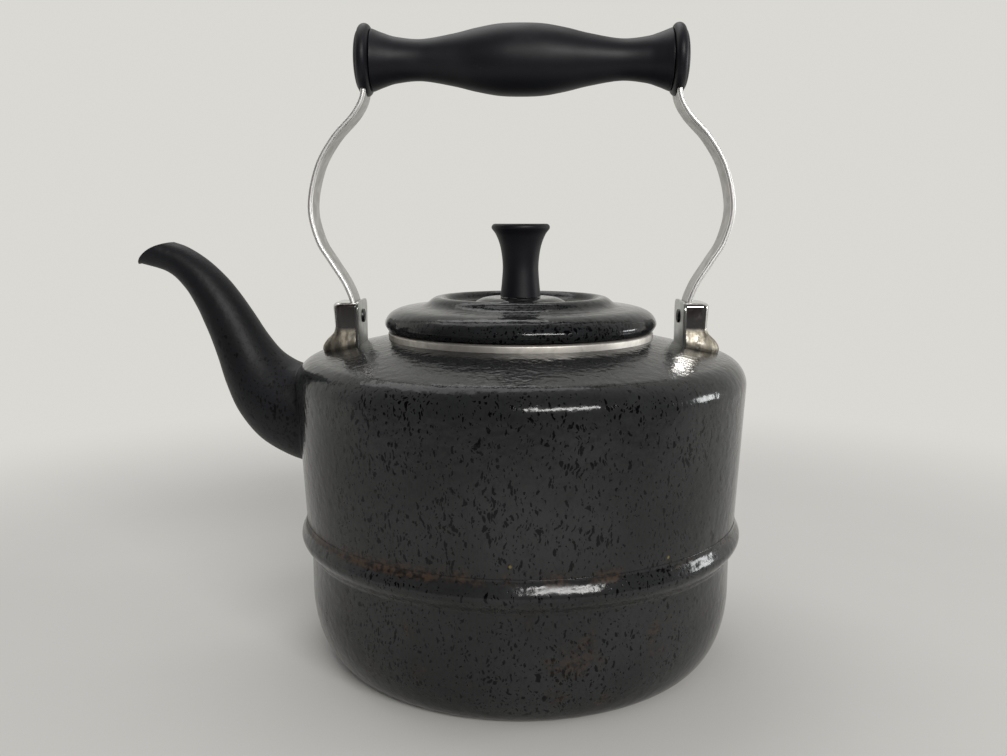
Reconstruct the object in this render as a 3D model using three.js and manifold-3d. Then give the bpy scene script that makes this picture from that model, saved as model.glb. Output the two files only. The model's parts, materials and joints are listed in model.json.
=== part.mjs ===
// An enamelled steel tea kettle with a lift-off lid, a curved spout and a fixed arched handle.
// Millimetres, +Z up. The origin is the centre of the flat underside, and the spout points along -X.

import * as THREE from "three";
import { mergeVertices } from "three/addons/utils/BufferGeometryUtils.js";
import Module from "manifold-3d";

const wasm = await Module();
wasm.setup();

// Sheet, fits and cuts
const SHEET = 1.5; // steel sheet with its enamel
const GAP = 0.3; // air between pieces that touch
const OVERRUN = 5; // how far a cut runs past what it cuts
const WELD = 0.0001; // vertices closer than this are one

// Base pan
const PAN_RADIUS = 95.2; // outside, under the bead
const PAN_DRAFT = 0.7; // how much narrower it is above the bottom corner
const PAN_CORNER_REACH = 16.2;
const PAN_CORNER_HEIGHT = 32;
const BEAD_HEIGHT = 57.3; // middle of the bead above the underside
const BEAD_HALF_HEIGHT = 8;
const BEAD_STAND = 3.6; // how far the bead stands out of the pan's wall
const LIP_THICKNESS = 0.5; // edge of the bead against the shell

// Upper shell
const SHELL_STEP = 0.6; // its foot beyond the pan's wall
const SHELL_FOOT_DROP = 4; // its lower edge below the middle of the bead
const SHELL_FLARE = 3.6; // how much wider the shoulder is than the foot
const SHOULDER_HEIGHT = 123.4; // centre of the shoulder corner
const SHOULDER_CORNER = 11.4;
const SHOULDER_SLOPE = THREE.MathUtils.degToRad(12.8);
const MOUTH_RADIUS = 54.3;

// Mouth ring
const RING_SHEET = 1;
const RING_REACH = 5; // how far it covers the shoulder
const RING_CROWN = 2.4; // its top above the shoulder at the mouth
const RING_SKIRT = 6; // its reach below that

// Lid, with heights above its seat and radii beyond the mouth's
const LID_OVERHANG = 6.5;
const LID_WIDEST_RISE = 3.5;
const LID_EDGE_OVERHANG = 4.7;
const LID_EDGE_RISE = 0.9;
const LID_BEND_OVERHANG = 4.3;
const LID_BEND_RISE = 7.5;
const LID_DECK_RADIUS = 54;
const LID_DECK_RISE = 9.4;
const LID_STEP_RADIUS = 42.3;
const LID_STEP_RISE = 10.8;
const LID_RIM_RADIUS = 36.3;
const LID_RIM_HALF_WIDTH = 2.1;
const LID_RIM_RISE = 14.4;
const LID_CHANNEL_RISE = 10.6;
const LID_CHANNEL_OUTER = 31.5;
const LID_CHANNEL_INNER = 22.5;
const LID_BOSS_RADIUS = 17;
const LID_BOSS_RISE = 14;
const LID_CROWN_DROP = 0.6; // how far a crown's shoulders lie below its top

// Flange under the lid
const SLEEVE_FIT = 0.6; // its skirt inside the mouth ring
const SLEEVE_SHEET = 1;
const SLEEVE_DEPTH = 11; // skirt below the lid's seat
const SLEEVE_RIM = 4; // height of its upturned rim

// Knob and its fixings
const KNOB_RADIUS = 12.9;
const KNOB_WAIST_RADIUS = 7.95;
const KNOB_HEIGHT = 32;
const KNOB_EDGE = 2.2; // radius of its rounded edge
const INSERT_RADIUS = 3.8;
const INSERT_LENGTH = 12;
const KNOB_SCREW_REACH = 15; // shank above the knob's base
const WASHER_RADIUS = 6.5;
const WASHER_THICKNESS = 1;

// Spout
const SPOUT_SINK = 2; // how far inside the shoulder's radius its tables start
const SPOUT_REACH = 73.4; // from there to the lip
const SPOUT_ROOT_DROP = 37.2; // lowest point of the root below the shoulder corner
const SPOUT_RISE = 98; // from the lowest point to the highest
const SPOUT_HALF_WIDTH = 20.5; // at the root
const SPOUT_BOW = 1.7; // how far the mouth's sides stand proud of its flat

// Sockets, with heights above the shoulder at their inner face
const socketPlaceShare = 0.298; // inner face, on the way from the lid's edge to the shoulder's
const SOCKET_DEPTH = 9.6;
const SOCKET_HALF_WIDTH = 12.6;
const SOCKET_CORNER = 3.5;
const SOCKET_RISE = 18.8;
const SOCKET_CROWN_X = 1.5; // rounding of the top edge, outwards
const SOCKET_CROWN_Y = 2.5; // the same, at the ends
const SOCKET_LEAN = 0.7; // how far its outer face leans out at the top
const FLARE_RISE = 6.6; // where the foot starts to flare
const FOOT_REACH_X = 6.5;
const FOOT_REACH_Y = 5;
const FOOT_EDGE = 1.2; // thickness of the foot's edge
const PLATE_THICKNESS = 1.2;
const PLATE_MARGIN = 0.8; // the plate beyond the hood, at the top and ends
const PLATE_CORNER = 2.5;
const CLAMP_RISE = 12.4;
const CLAMP_REACH = 4; // shank beyond the strap
const RIVET_INSET = 6.2; // from the socket's inner face
const RIVET_Y = 8;
const RIVET_REACH = 5; // shank above the shoulder

// Handle straps
const STRAP_THICKNESS = 2.2;
const STRAP_HALF_WIDTH = 8.2;
const STRAP_BEVEL = 0.6;
const STRAP_FOOT_RISE = 5; // its lower end above the shoulder at the socket
const STRAP_BULGE = 18.2; // its widest place beyond its foot
const STRAP_BELLY_RISE = 60.2; // height of that place above the shoulder at the socket

// Grip, its end caps and what holds them
const GRIP_RISE = 122.6; // its axis above the shoulder at the sockets
const GRIP_HALF_LENGTH = 64.2;
const GRIP_BELLY_RADIUS = 15.2;
const GRIP_NECK_RADIUS = 8.7;
const CAP_RADIUS = 15.45;
const CAP_THICKNESS = 5.2; // at the rounded rim
const CAP_WALL = 1.5; // between the grip and the strap
const CAP_DOME = 2; // the outer face beyond the rim
const ROD_RADIUS = 4;
const ROD_BORE_DEPTH = 14; // threaded hole in each end
const CAP_SCREW_REACH = 10; // shank inside the rod

// Screws and rivets
const SHANK_RADIUS = 2;
const HEAD_RADIUS = 3.4;
const HEAD_HEIGHT = 1.8;
const SLOT_WIDTH = 1.1;
const SLOT_DEPTH = 0.8;

// Facets round each kind of piece, and steps along its curves
const BODY_FACETS = 40;
const LID_FACETS = 32;
const GRIP_FACETS = 24;
const SPOUT_FACETS = 20;
const BORE_FACETS = 14;
const SMALL_FACETS = 12;
const CORNER_STEPS = 5;
const EDGE_STEPS = 3;
const SPOUT_STEPS = 19;
const PASSAGE_STEPS = 12;
const STRAP_STEPS = 21;
const KNOB_STEPS = 7;
const GRIP_STEPS = 14;

// Spout tables, from its root to its lip: shares of the reach and of the rise
const upperEdgeShares = [
  [-0.148, 0.413],
  [-0.065, 0.421],
  [0.002, 0.435],
  [0.071, 0.457],
  [0.152, 0.501],
  [0.233, 0.579],
  [0.312, 0.674],
  [0.393, 0.765],
  [0.472, 0.839],
  [0.579, 0.915],
  [0.694, 0.971],
  [0.789, 0.997],
];
const lowerEdgeShares = [
  [-0.057, -0.033],
  [0.121, 0.018],
  [0.286, 0.097],
  [0.413, 0.217],
  [0.486, 0.346],
  [0.531, 0.463],
  [0.572, 0.558],
  [0.608, 0.628],
  [0.648, 0.699],
  [0.718, 0.789],
  [0.82, 0.86],
  [1, 0.902],
];
const halfWidthShares = [1, 0.99, 0.93, 0.81, 0.69, 0.59, 0.53, 0.49, 0.45, 0.4, 0.36, 0.36];

// Strap tables: shares of the bulge and of the height, below and above the widest place
const strapLowerShares = [
  [0, 0],
  [0, 0.2],
  [0.19, 0.385],
  [0.54, 0.573],
  [0.84, 0.744],
  [1, 1],
];
const strapUpperShares = [
  [0.857, 0.268],
  [0.56, 0.469],
  [0.184, 0.63],
  [0.013, 0.756],
  [0, 0.9],
  [0, 1],
];

// Reach share and drop share of the socket's foot, from its edge up to the hood
const flareShares = [
  [1, 1],
  [1, 0.91],
  [0.93, 0.8],
  [0.68, 0.62],
  [0.36, 0.46],
  [0.12, 0.32],
  [0.03, 0.17],
];

// Height share and flare share of the knob, from its waist's radius to its full radius
const knobShares = [
  [0, 0.21],
  [0.2, 0.08],
  [0.4, 0],
  [0.57, 0.08],
  [0.72, 0.27],
  [0.85, 0.6],
];

// Length share and swell share of half the grip, from its neck's radius to its belly's
const gripShares = [
  [0, 1],
  [0.15, 0.942],
  [0.3, 0.686],
  [0.452, 0.336],
  [0.664, 0],
  [0.83, 0.131],
  [0.92, 0.38],
  [1, 0.686],
];

const QUARTER = Math.PI / 2;
const UP = new THREE.Vector3(0, 0, 1);

// A point of a profile: distance from the axis, and height.
function at(radius, height) {
  return new THREE.Vector2(radius, height);
}

// A closed geometry as a solid that can be joined and cut.
function solidOf(geometry) {
  const bare = geometry.index ? geometry.toNonIndexed() : geometry.clone();
  bare.deleteAttribute("normal");
  bare.deleteAttribute("uv");
  const merged = mergeVertices(bare, WELD);
  const triangles = [];
  for (let i = 0; i < merged.index.count; i += 3) {
    const corners = [0, 1, 2].map((k) => merged.index.getX(i + k));
    if (new Set(corners).size === corners.length) triangles.push(...corners);
  }
  return new wasm.Manifold(
    new wasm.Mesh({
      numProp: 3,
      vertProperties: merged.attributes.position.array,
      triVerts: new Uint32Array(triangles),
    }),
  );
}

// A solid as a geometry that can be drawn.
function geometryOf(solid) {
  const mesh = solid.getMesh();
  const geometry = new THREE.BufferGeometry();
  geometry.setAttribute("position", new THREE.BufferAttribute(mesh.vertProperties, 3));
  geometry.setIndex(new THREE.BufferAttribute(mesh.triVerts, 1));
  geometry.computeVertexNormals();
  return geometry;
}

// One solid with each of the tools cut away from it.
function cut(solid, ...tools) {
  return tools.reduce((rest, tool) => rest.subtract(tool), solid);
}

// A solid moved by a placement, so that one piece can cut another.
function placed(solid, matrix) {
  return solid.transform(matrix.elements);
}

// An elliptical arc in a profile, from one angle to another.
function arc(middle, semi, from, to, steps) {
  return Array.from({ length: steps + 1 }, (_, i) => {
    const angle = from + ((to - from) * i) / steps;
    return at(middle.x + semi.x * Math.cos(angle), middle.y + semi.y * Math.sin(angle));
  });
}

// A smooth curve through points.
function curveThrough(points) {
  return new THREE.CatmullRomCurve3(points, false, "catmullrom");
}

// A smooth line through profile points.
function smooth(points, steps) {
  const curve = curveThrough(points.map((p) => new THREE.Vector3(p.x, p.y, 0)));
  return curve.getPoints(steps).map((p) => at(p.x, p.y));
}

// A profile moved to the left of its own direction.
function offset(points, distance) {
  return points.map((p, i) => {
    const before = points[Math.max(i - 1, 0)];
    const after = points[Math.min(i + 1, points.length - 1)];
    const along = after.clone().sub(before).normalize();
    return at(p.x - along.y * distance, p.y + along.x * distance);
  });
}

// A solid of revolution round Z. The profile runs anticlockwise, with the radius to the right.
function turned(profile, facets) {
  return solidOf(new THREE.LatheGeometry(profile, facets).rotateX(QUARTER));
}

// The same for a profile that closes on itself away from the axis.
function turnedRing(profile, facets) {
  return turned([...profile, profile[0]], facets);
}

// A plain shaft round Z from one height to another.
function shaft(radius, low, high, facets) {
  return turned([at(0, low), at(radius, low), at(radius, high), at(0, high)], facets);
}

// A box between two corners.
function block(low, high) {
  const size = high.clone().sub(low);
  const middle = low.clone().add(high).divideScalar(2);
  const geometry = new THREE.BoxGeometry(size.x, size.y, size.z);
  return solidOf(geometry.translate(middle.x, middle.y, middle.z));
}

// A skin through rings of points, closed by a fan at each end. Each ring runs
// anticlockwise when it is seen from the rings that come after it.
function loft(rings) {
  const count = rings[0].length;
  const middleOf = (ring) => {
    const sum = ring.reduce((total, p) => total.add(p), new THREE.Vector3());
    return sum.divideScalar(count);
  };
  const points = [...rings.flat(), middleOf(rings[0]), middleOf(rings.at(-1))];
  const last = (rings.length - 1) * count;
  const firstMiddle = rings.length * count;
  const triangles = [];
  for (let i = 0; i < count; i++) {
    const next = (i + 1) % count;
    for (let start = 0; start < last; start += count) {
      const a = start + i;
      const b = start + next;
      triangles.push(a, b, b + count, a, b + count, a + count);
    }
    triangles.push(firstMiddle, next, i);
    triangles.push(firstMiddle + 1, last + i, last + next);
  }
  const geometry = new THREE.BufferGeometry().setFromPoints(points);
  geometry.setIndex(triangles);
  return solidOf(geometry);
}

// Body: the pan, the shell that stands in its bead, and the ring round the mouth

const shellFootRadius = PAN_RADIUS + SHELL_STEP;
const shellFootHeight = BEAD_HEIGHT - SHELL_FOOT_DROP;
const shoulderRadius = shellFootRadius + SHELL_FLARE;
const wallSlope = SHELL_FLARE / (SHOULDER_HEIGHT - shellFootHeight);
const cornerX = shoulderRadius - SHOULDER_CORNER;
const bendX = cornerX + SHOULDER_CORNER * Math.sin(SHOULDER_SLOPE);
const bendZ = SHOULDER_HEIGHT + SHOULDER_CORNER * Math.cos(SHOULDER_SLOPE);

// Height of the shoulder's outside at a distance from the axis.
function shoulderAt(radius) {
  if (radius < bendX) return bendZ + (bendX - radius) * Math.tan(SHOULDER_SLOPE);
  const across = Math.min(radius - cornerX, SHOULDER_CORNER);
  return SHOULDER_HEIGHT + Math.sqrt(SHOULDER_CORNER ** 2 - across ** 2);
}

// How far the shoulder's outside leans from the level there.
function shoulderLean(radius) {
  const sine = Math.max((radius - cornerX) / SHOULDER_CORNER, Math.sin(SHOULDER_SLOPE));
  return Math.asin(Math.min(sine, 1));
}

// Outline of the shell from its foot to its mouth, pushed outwards by a distance.
function shellOutline(out) {
  const corner = at(cornerX, SHOULDER_HEIGHT);
  const radius = SHOULDER_CORNER + out;
  const to = QUARTER - SHOULDER_SLOPE;
  return [
    at(shellFootRadius + out, shellFootHeight),
    ...arc(corner, at(radius, radius), -Math.atan(wallSlope), to, CORNER_STEPS),
    at(MOUTH_RADIUS, shoulderAt(MOUTH_RADIUS) + out / Math.cos(SHOULDER_SLOPE)),
  ];
}

// Everything inside the shell's outside, with a clearance round it.
function shellEnvelope(clearance) {
  const outline = shellOutline(clearance);
  return turned([at(0, outline[0].y), ...outline, at(0, outline.at(-1).y)], BODY_FACETS);
}

// Wall, shoulder and mouth in one drawn shell.
function makeUpperShell(cutters) {
  const inside = shellOutline(-SHEET).reverse();
  return cut(turnedRing([...shellOutline(0), ...inside], BODY_FACETS), ...cutters);
}

// Drawn pan whose rolled bead holds the shell's foot.
function makeBasePan() {
  const lowRadius = PAN_RADIUS - PAN_DRAFT;
  const corner = at(lowRadius - PAN_CORNER_REACH, PAN_CORNER_HEIGHT);
  const outer = at(PAN_CORNER_REACH, PAN_CORNER_HEIGHT);
  const inner = at(PAN_CORNER_REACH - SHEET, PAN_CORNER_HEIGHT - SHEET);
  const seatAt = (height) => shellFootRadius + GAP + (height - shellFootHeight) * wallSlope;
  const lipRadius = seatAt(BEAD_HEIGHT + BEAD_HALF_HEIGHT) + LIP_THICKNESS;
  const lipAngle = Math.acos((lipRadius - PAN_RADIUS) / BEAD_STAND);
  const beadMiddle = at(PAN_RADIUS, BEAD_HEIGHT);
  const beadSemi = at(BEAD_STAND, BEAD_HALF_HEIGHT);
  const bead = arc(beadMiddle, beadSemi, -QUARTER, lipAngle, CORNER_STEPS);
  const lipHeight = bead.at(-1).y;
  const shelf = shellFootHeight - GAP;
  return turned(
    [
      at(0, 0),
      ...arc(corner, outer, -QUARTER, 0, CORNER_STEPS),
      ...bead,
      at(seatAt(lipHeight), lipHeight),
      at(seatAt(shelf), shelf),
      at(PAN_RADIUS - SHEET, shelf),
      ...arc(corner, inner, 0, -QUARTER, CORNER_STEPS - 1),
      at(0, SHEET),
    ],
    BODY_FACETS,
  );
}

const ringSeat = shoulderAt(MOUTH_RADIUS);
const ringTop = ringSeat + RING_CROWN;
const ringOuter = MOUTH_RADIUS + RING_REACH;
const ringSkirtRadius = MOUTH_RADIUS - GAP;
const ringBore = ringSkirtRadius - RING_SHEET;

// Rolled ring that clips over the edge of the mouth.
function makeMouthRing() {
  const half = (ringOuter - ringBore) / 2;
  const crown = at(half, RING_CROWN / 2);
  const crownMiddle = at(ringBore + half, ringTop - crown.y);
  return turnedRing(
    [
      at(ringBore, ringSeat - RING_SKIRT),
      at(ringSkirtRadius, ringSeat - RING_SKIRT),
      at(ringSkirtRadius, shoulderAt(ringSkirtRadius) + GAP),
      at(ringOuter, shoulderAt(ringOuter) + GAP),
      ...arc(crownMiddle, crown, 0, Math.PI, CORNER_STEPS),
    ],
    LID_FACETS,
  );
}

// Spout: every ring is an ellipse between a point of the upper edge and one of the lower edge

// A smooth edge of the spout through its table of shares.
function spoutEdge(shares) {
  const low = SHOULDER_HEIGHT - SPOUT_ROOT_DROP;
  const start = SPOUT_SINK - shoulderRadius;
  const place = ([out, up]) => new THREE.Vector3(start - SPOUT_REACH * out, 0, low + SPOUT_RISE * up);
  return curveThrough(shares.map(place));
}

// Rings of the spout from its root to its lip, drawn in by a wall.
function spoutRings(wall, facets, steps) {
  const upper = spoutEdge(upperEdgeShares);
  const lower = spoutEdge(lowerEdgeShares);
  const widths = curveThrough(
    halfWidthShares.map((share) => new THREE.Vector3(SPOUT_HALF_WIDTH * share, 0, 0)),
  );
  return Array.from({ length: steps + 1 }, (_, k) => {
    const top = upper.getPoint(k / steps);
    const middle = top.clone().add(lower.getPoint(k / steps)).divideScalar(2);
    const rise = top.sub(middle);
    const up = rise.length() - wall;
    const side = widths.getPoint(k / steps).x - wall;
    rise.normalize();
    const outwards = new THREE.Vector3(-rise.z, 0, rise.x);
    const bow = k === steps ? SPOUT_BOW : 0;
    return Array.from({ length: facets }, (_, i) => {
      const angle = (i / facets) * Math.PI * 2;
      const point = middle.clone().addScaledVector(rise, up * Math.cos(angle));
      point.addScaledVector(outwards, bow * Math.sin(angle) ** 2);
      point.y = side * Math.sin(angle);
      return point;
    });
  });
}

// The way of the water through the spout, run on past the lip.
function makePassage() {
  const rings = spoutRings(SHEET, BORE_FACETS, PASSAGE_STEPS);
  const lip = rings.at(-1);
  const rise = lip[0].clone().sub(lip[lip.length / 2]).normalize();
  const outwards = new THREE.Vector3(-rise.z, 0, rise.x);
  rings.push(lip.map((p) => p.clone().addScaledVector(outwards, OVERRUN)));
  return loft(rings);
}

// Hollow spout, trimmed to the wall that it is welded to.
function makeSpout(passage) {
  return cut(loft(spoutRings(0, SPOUT_FACETS, SPOUT_STEPS)), passage, shellEnvelope(GAP));
}

// Screws and rivets

// A screw or rivet round Z: its head lies below zero and its shank runs up to a height.
function makeFastener(reach) {
  const head = arc(at(0, 0), at(HEAD_RADIUS, HEAD_HEIGHT), -QUARTER, 0, EDGE_STEPS);
  return turned(
    [...head, at(SHANK_RADIUS, 0), at(SHANK_RADIUS, reach), at(0, reach)],
    SMALL_FACETS,
  );
}

// The slot across a head whose top lies at a height, on the side that the sign gives.
function slotTool(top, sign) {
  const reach = HEAD_RADIUS + OVERRUN;
  const near = top - sign * SLOT_DEPTH;
  const far = top + sign * OVERRUN;
  const low = new THREE.Vector3(-reach, -SLOT_WIDTH / 2, Math.min(near, far));
  const high = new THREE.Vector3(reach, SLOT_WIDTH / 2, Math.max(near, far));
  return block(low, high);
}

// The hole for a shank, between two heights.
function shankHole(low, high) {
  return shaft(SHANK_RADIUS + GAP, low, high, SMALL_FACETS);
}

// Lid and knob

const lidSeat = ringTop + GAP;
const knobBase = lidSeat + LID_BOSS_RISE + GAP;
const lidEdgeRadius = MOUTH_RADIUS + LID_EDGE_OVERHANG;

// Pressed cover with a ring-shaped recess round a raised centre.
function makeLidCover() {
  const slopeRadius = (LID_BOSS_RADIUS + LID_CHANNEL_INNER) / 2;
  const slopeRise = (LID_BOSS_RISE + LID_CHANNEL_RISE) / 2;
  const rimShoulder = LID_RIM_RISE - LID_CROWN_DROP;
  const outside = [
    at(lidEdgeRadius, LID_EDGE_RISE),
    at(MOUTH_RADIUS + LID_OVERHANG, LID_WIDEST_RISE),
    at(MOUTH_RADIUS + LID_BEND_OVERHANG, LID_BEND_RISE),
    at(LID_DECK_RADIUS, LID_DECK_RISE),
    at(LID_STEP_RADIUS, LID_STEP_RISE),
    at(LID_RIM_RADIUS + LID_RIM_HALF_WIDTH, rimShoulder),
    at(LID_RIM_RADIUS, LID_RIM_RISE),
    at(LID_RIM_RADIUS - LID_RIM_HALF_WIDTH, rimShoulder),
    at(LID_CHANNEL_OUTER, LID_CHANNEL_RISE),
    at(LID_CHANNEL_INNER, LID_CHANNEL_RISE),
    at(slopeRadius, slopeRise),
    at(LID_BOSS_RADIUS, LID_BOSS_RISE - LID_CROWN_DROP / 2),
    at(LID_BOSS_RADIUS - LID_CROWN_DROP * 2, LID_BOSS_RISE),
    at(SHANK_RADIUS + GAP, LID_BOSS_RISE),
  ].map((p) => at(p.x, p.y + lidSeat));
  const inside = offset(outside, SHEET);
  inside[0].y = outside[0].y;
  inside.at(-1).x = outside.at(-1).x;
  return turnedRing([...outside, ...inside.reverse()], LID_FACETS);
}

// Flange inside the lid: its skirt enters the mouth and its floor rests on the ring.
function makeLidSleeve() {
  const skirtOuter = ringBore - SLEEVE_FIT;
  const skirtInner = skirtOuter - SLEEVE_SHEET;
  const rimOuter = lidEdgeRadius - SHEET - GAP;
  const rimInner = rimOuter - SLEEVE_SHEET;
  const floor = lidSeat + SLEEVE_SHEET;
  return turnedRing(
    [
      at(skirtInner, lidSeat - SLEEVE_DEPTH),
      at(skirtOuter, lidSeat - SLEEVE_DEPTH),
      at(skirtOuter, lidSeat),
      at(rimOuter, lidSeat),
      at(rimOuter, lidSeat + SLEEVE_RIM),
      at(rimInner, lidSeat + SLEEVE_RIM),
      at(rimInner, floor),
      at(skirtInner, floor),
    ],
    LID_FACETS,
  );
}

// Turned knob round Z from zero, hollow where its insert and screw stand.
function makeKnob() {
  const swell = KNOB_RADIUS - KNOB_WAIST_RADIUS;
  const flare = knobShares.map(([up, out]) => at(KNOB_WAIST_RADIUS + swell * out, KNOB_HEIGHT * up));
  const edge = at(KNOB_RADIUS - KNOB_EDGE, KNOB_HEIGHT - KNOB_EDGE);
  const boreRadius = INSERT_RADIUS + GAP;
  const boreTop = INSERT_LENGTH + GAP * 2;
  const tipRadius = SHANK_RADIUS + GAP;
  const tipTop = KNOB_SCREW_REACH + GAP;
  return turned(
    [
      at(0, tipTop),
      at(tipRadius, tipTop),
      at(tipRadius, boreTop),
      at(boreRadius, boreTop),
      at(boreRadius, 0),
      ...smooth(flare, KNOB_STEPS),
      ...arc(edge, at(KNOB_EDGE, KNOB_EDGE), 0, QUARTER, EDGE_STEPS),
      at(0, KNOB_HEIGHT),
    ],
    GRIP_FACETS,
  );
}

// Threaded bush moulded into the knob.
function makeKnobInsert() {
  return turnedRing(
    [
      at(SHANK_RADIUS + GAP, GAP),
      at(INSERT_RADIUS, GAP),
      at(INSERT_RADIUS, GAP + INSERT_LENGTH),
      at(SHANK_RADIUS + GAP, GAP + INSERT_LENGTH),
    ],
    SMALL_FACETS,
  );
}

// Washer round Z, standing on zero.
function makeKnobWasher() {
  return turnedRing(
    [
      at(SHANK_RADIUS + GAP, 0),
      at(WASHER_RADIUS, 0),
      at(WASHER_RADIUS, WASHER_THICKNESS),
      at(SHANK_RADIUS + GAP, WASHER_THICKNESS),
    ],
    BORE_FACETS,
  );
}

// Handle: everything here stands on the +X side, and the other side is the same turned by half

const lidRadius = MOUTH_RADIUS + LID_OVERHANG;
const socketX = lidRadius + (shoulderRadius - lidRadius) * socketPlaceShare;
const socketSeat = shoulderAt(socketX);
const socketTop = socketSeat + SOCKET_RISE;
const strapFootX = socketX + STRAP_THICKNESS / 2;
const strapFootHeight = socketSeat + STRAP_FOOT_RISE;
const clampHeight = socketSeat + CLAMP_RISE;
const plateOuterX = socketX - GAP;
const gripHeight = socketSeat + GRIP_RISE;
const capInnerX = GRIP_HALF_LENGTH + GAP;
const strapTopX = capInnerX + CAP_WALL + GAP + STRAP_THICKNESS / 2;
const capFaceX = capInnerX + CAP_THICKNESS + CAP_DOME;

// Middle line of a strap, from its foot to the grip's axis.
function strapLine() {
  const bellyX = strapFootX + STRAP_BULGE;
  const bellyZ = socketSeat + STRAP_BELLY_RISE;
  const below = strapLowerShares.map(([out, up]) => {
    return new THREE.Vector3(
      strapFootX + STRAP_BULGE * out,
      0,
      strapFootHeight + (bellyZ - strapFootHeight) * up,
    );
  });
  const above = strapUpperShares.map(([out, up]) => {
    return new THREE.Vector3(
      strapTopX + (bellyX - strapTopX) * out,
      0,
      bellyZ + (gripHeight - bellyZ) * up,
    );
  });
  return curveThrough([...below, ...above]);
}

// Section of a strap, level with its middle line's point and square to its direction.
function strapRing(middle, along, half, width, bevel) {
  const across = new THREE.Vector3(along.z, 0, -along.x);
  const corners = [
    [half, -width + bevel],
    [half, width - bevel],
    [half - bevel, width],
    [bevel - half, width],
    [-half, width - bevel],
    [-half, bevel - width],
    [bevel - half, -width],
    [half - bevel, -width],
  ];
  return corners.map(([out, side]) => {
    const point = middle.clone().addScaledVector(across, out);
    point.y = side;
    return point;
  });
}

// Strap grown by a clearance. Its upper end is round about the grip's axis.
function strapSolid(clearance) {
  const line = strapLine();
  const half = STRAP_THICKNESS / 2 + clearance;
  const width = STRAP_HALF_WIDTH + clearance;
  const rings = Array.from({ length: STRAP_STEPS + 1 }, (_, k) => {
    const share = k / STRAP_STEPS;
    const along = line.getTangentAt(share);
    return strapRing(line.getPointAt(share), along, half, width, STRAP_BEVEL);
  });
  for (let k = 1; k <= CORNER_STEPS; k++) {
    const angle = (k / CORNER_STEPS) * (QUARTER - Math.asin(STRAP_BEVEL / width) * 2);
    const middle = new THREE.Vector3(strapTopX, 0, gripHeight + width * Math.sin(angle));
    rings.push(strapRing(middle, UP, half, width * Math.cos(angle), STRAP_BEVEL));
  }
  return loft(rings);
}

// Plan of the hood, grown outwards and sideways, with its flat side towards the lid.
function hoodPlan(growX, growY) {
  const outer = socketX + SOCKET_DEPTH + growX;
  const side = SOCKET_HALF_WIDTH + growY;
  const corner = SOCKET_CORNER + Math.max(growY, 0);
  const runShares = [0, 1 / 2, 1];
  const semi = at(corner, corner);
  const nearSide = runShares.map((share) => at(socketX + (outer - corner - socketX) * share, -side));
  const nearCorner = arc(at(outer - corner, corner - side), semi, -QUARTER, 0, EDGE_STEPS);
  const front = runShares.map((share) => at(outer, (corner - side) * (1 - 2 * share)));
  const farCorner = arc(at(outer - corner, side - corner), semi, 0, QUARTER, EDGE_STEPS);
  const farSide = runShares.map((share) => {
    return at(outer - corner + (socketX - outer + corner) * share, side);
  });
  const runs = [nearSide.slice(0, -1), nearCorner, front.slice(1, -1), farCorner, farSide.slice(1)];
  return runs.flat();
}

// Pressed hood whose foot flares out and lies along the curved shoulder.
function makeSocket(strapSlot, cutters) {
  const level = (plan, height) => plan.map((p) => new THREE.Vector3(p.x, p.y, height));
  const flareZ = socketSeat + FLARE_RISE;
  const footPlan = hoodPlan(FOOT_REACH_X, FOOT_REACH_Y);
  const rings = [footPlan.map((p) => new THREE.Vector3(p.x, p.y, shoulderAt(p.length()) - OVERRUN))];
  flareShares.forEach(([reach, drop]) => {
    const plan = hoodPlan(FOOT_REACH_X * reach, FOOT_REACH_Y * reach);
    rings.push(
      plan.map((p) => {
        const foot = shoulderAt(p.length()) + FOOT_EDGE;
        return new THREE.Vector3(p.x, p.y, flareZ + (foot - flareZ) * drop);
      }),
    );
  });
  rings.push(level(hoodPlan(0, 0), flareZ));
  for (let k = 0; k <= CORNER_STEPS; k++) {
    const angle = (k / CORNER_STEPS) * QUARTER;
    const shrink = Math.cos(angle) - 1;
    const plan = hoodPlan(SOCKET_LEAN + SOCKET_CROWN_X * shrink, SOCKET_CROWN_Y * shrink);
    rings.push(level(plan, socketTop - SOCKET_CROWN_Y * (1 - Math.sin(angle))));
  }
  const pocketLow = new THREE.Vector3(
    socketX - OVERRUN,
    -STRAP_HALF_WIDTH - GAP,
    strapFootHeight - GAP,
  );
  const pocketHigh = new THREE.Vector3(strapFootX, STRAP_HALF_WIDTH + GAP, socketTop + OVERRUN);
  return cut(loft(rings), strapSlot, block(pocketLow, pocketHigh), shellEnvelope(GAP), ...cutters);
}

// Plate with round upper corners that closes the hood towards the lid.
function makeSocketPlate(cutters) {
  const side = SOCKET_HALF_WIDTH + PLATE_MARGIN;
  const top = socketTop + PLATE_MARGIN;
  const bottom = socketSeat - OVERRUN;
  const outline = new THREE.Shape();
  outline.moveTo(-side, bottom);
  outline.lineTo(side, bottom);
  outline.lineTo(side, top - PLATE_CORNER);
  outline.absarc(side - PLATE_CORNER, top - PLATE_CORNER, PLATE_CORNER, 0, QUARTER);
  outline.absarc(PLATE_CORNER - side, top - PLATE_CORNER, PLATE_CORNER, QUARTER, Math.PI);
  outline.closePath();
  const sheet = new THREE.ExtrudeGeometry(outline, {
    depth: PLATE_THICKNESS,
    bevelEnabled: false,
    curveSegments: CORNER_STEPS,
  });
  sheet.rotateX(QUARTER).rotateZ(QUARTER).translate(plateOuterX - PLATE_THICKNESS, 0, 0);
  return cut(solidOf(sheet), shellEnvelope(GAP), ...cutters);
}

// Placement of a part made round Z, laid along +X at a height.
function alongX(x, height) {
  const turn = new THREE.Matrix4().makeRotationY(QUARTER);
  return new THREE.Matrix4().makeTranslation(x, 0, height).multiply(turn);
}

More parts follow.
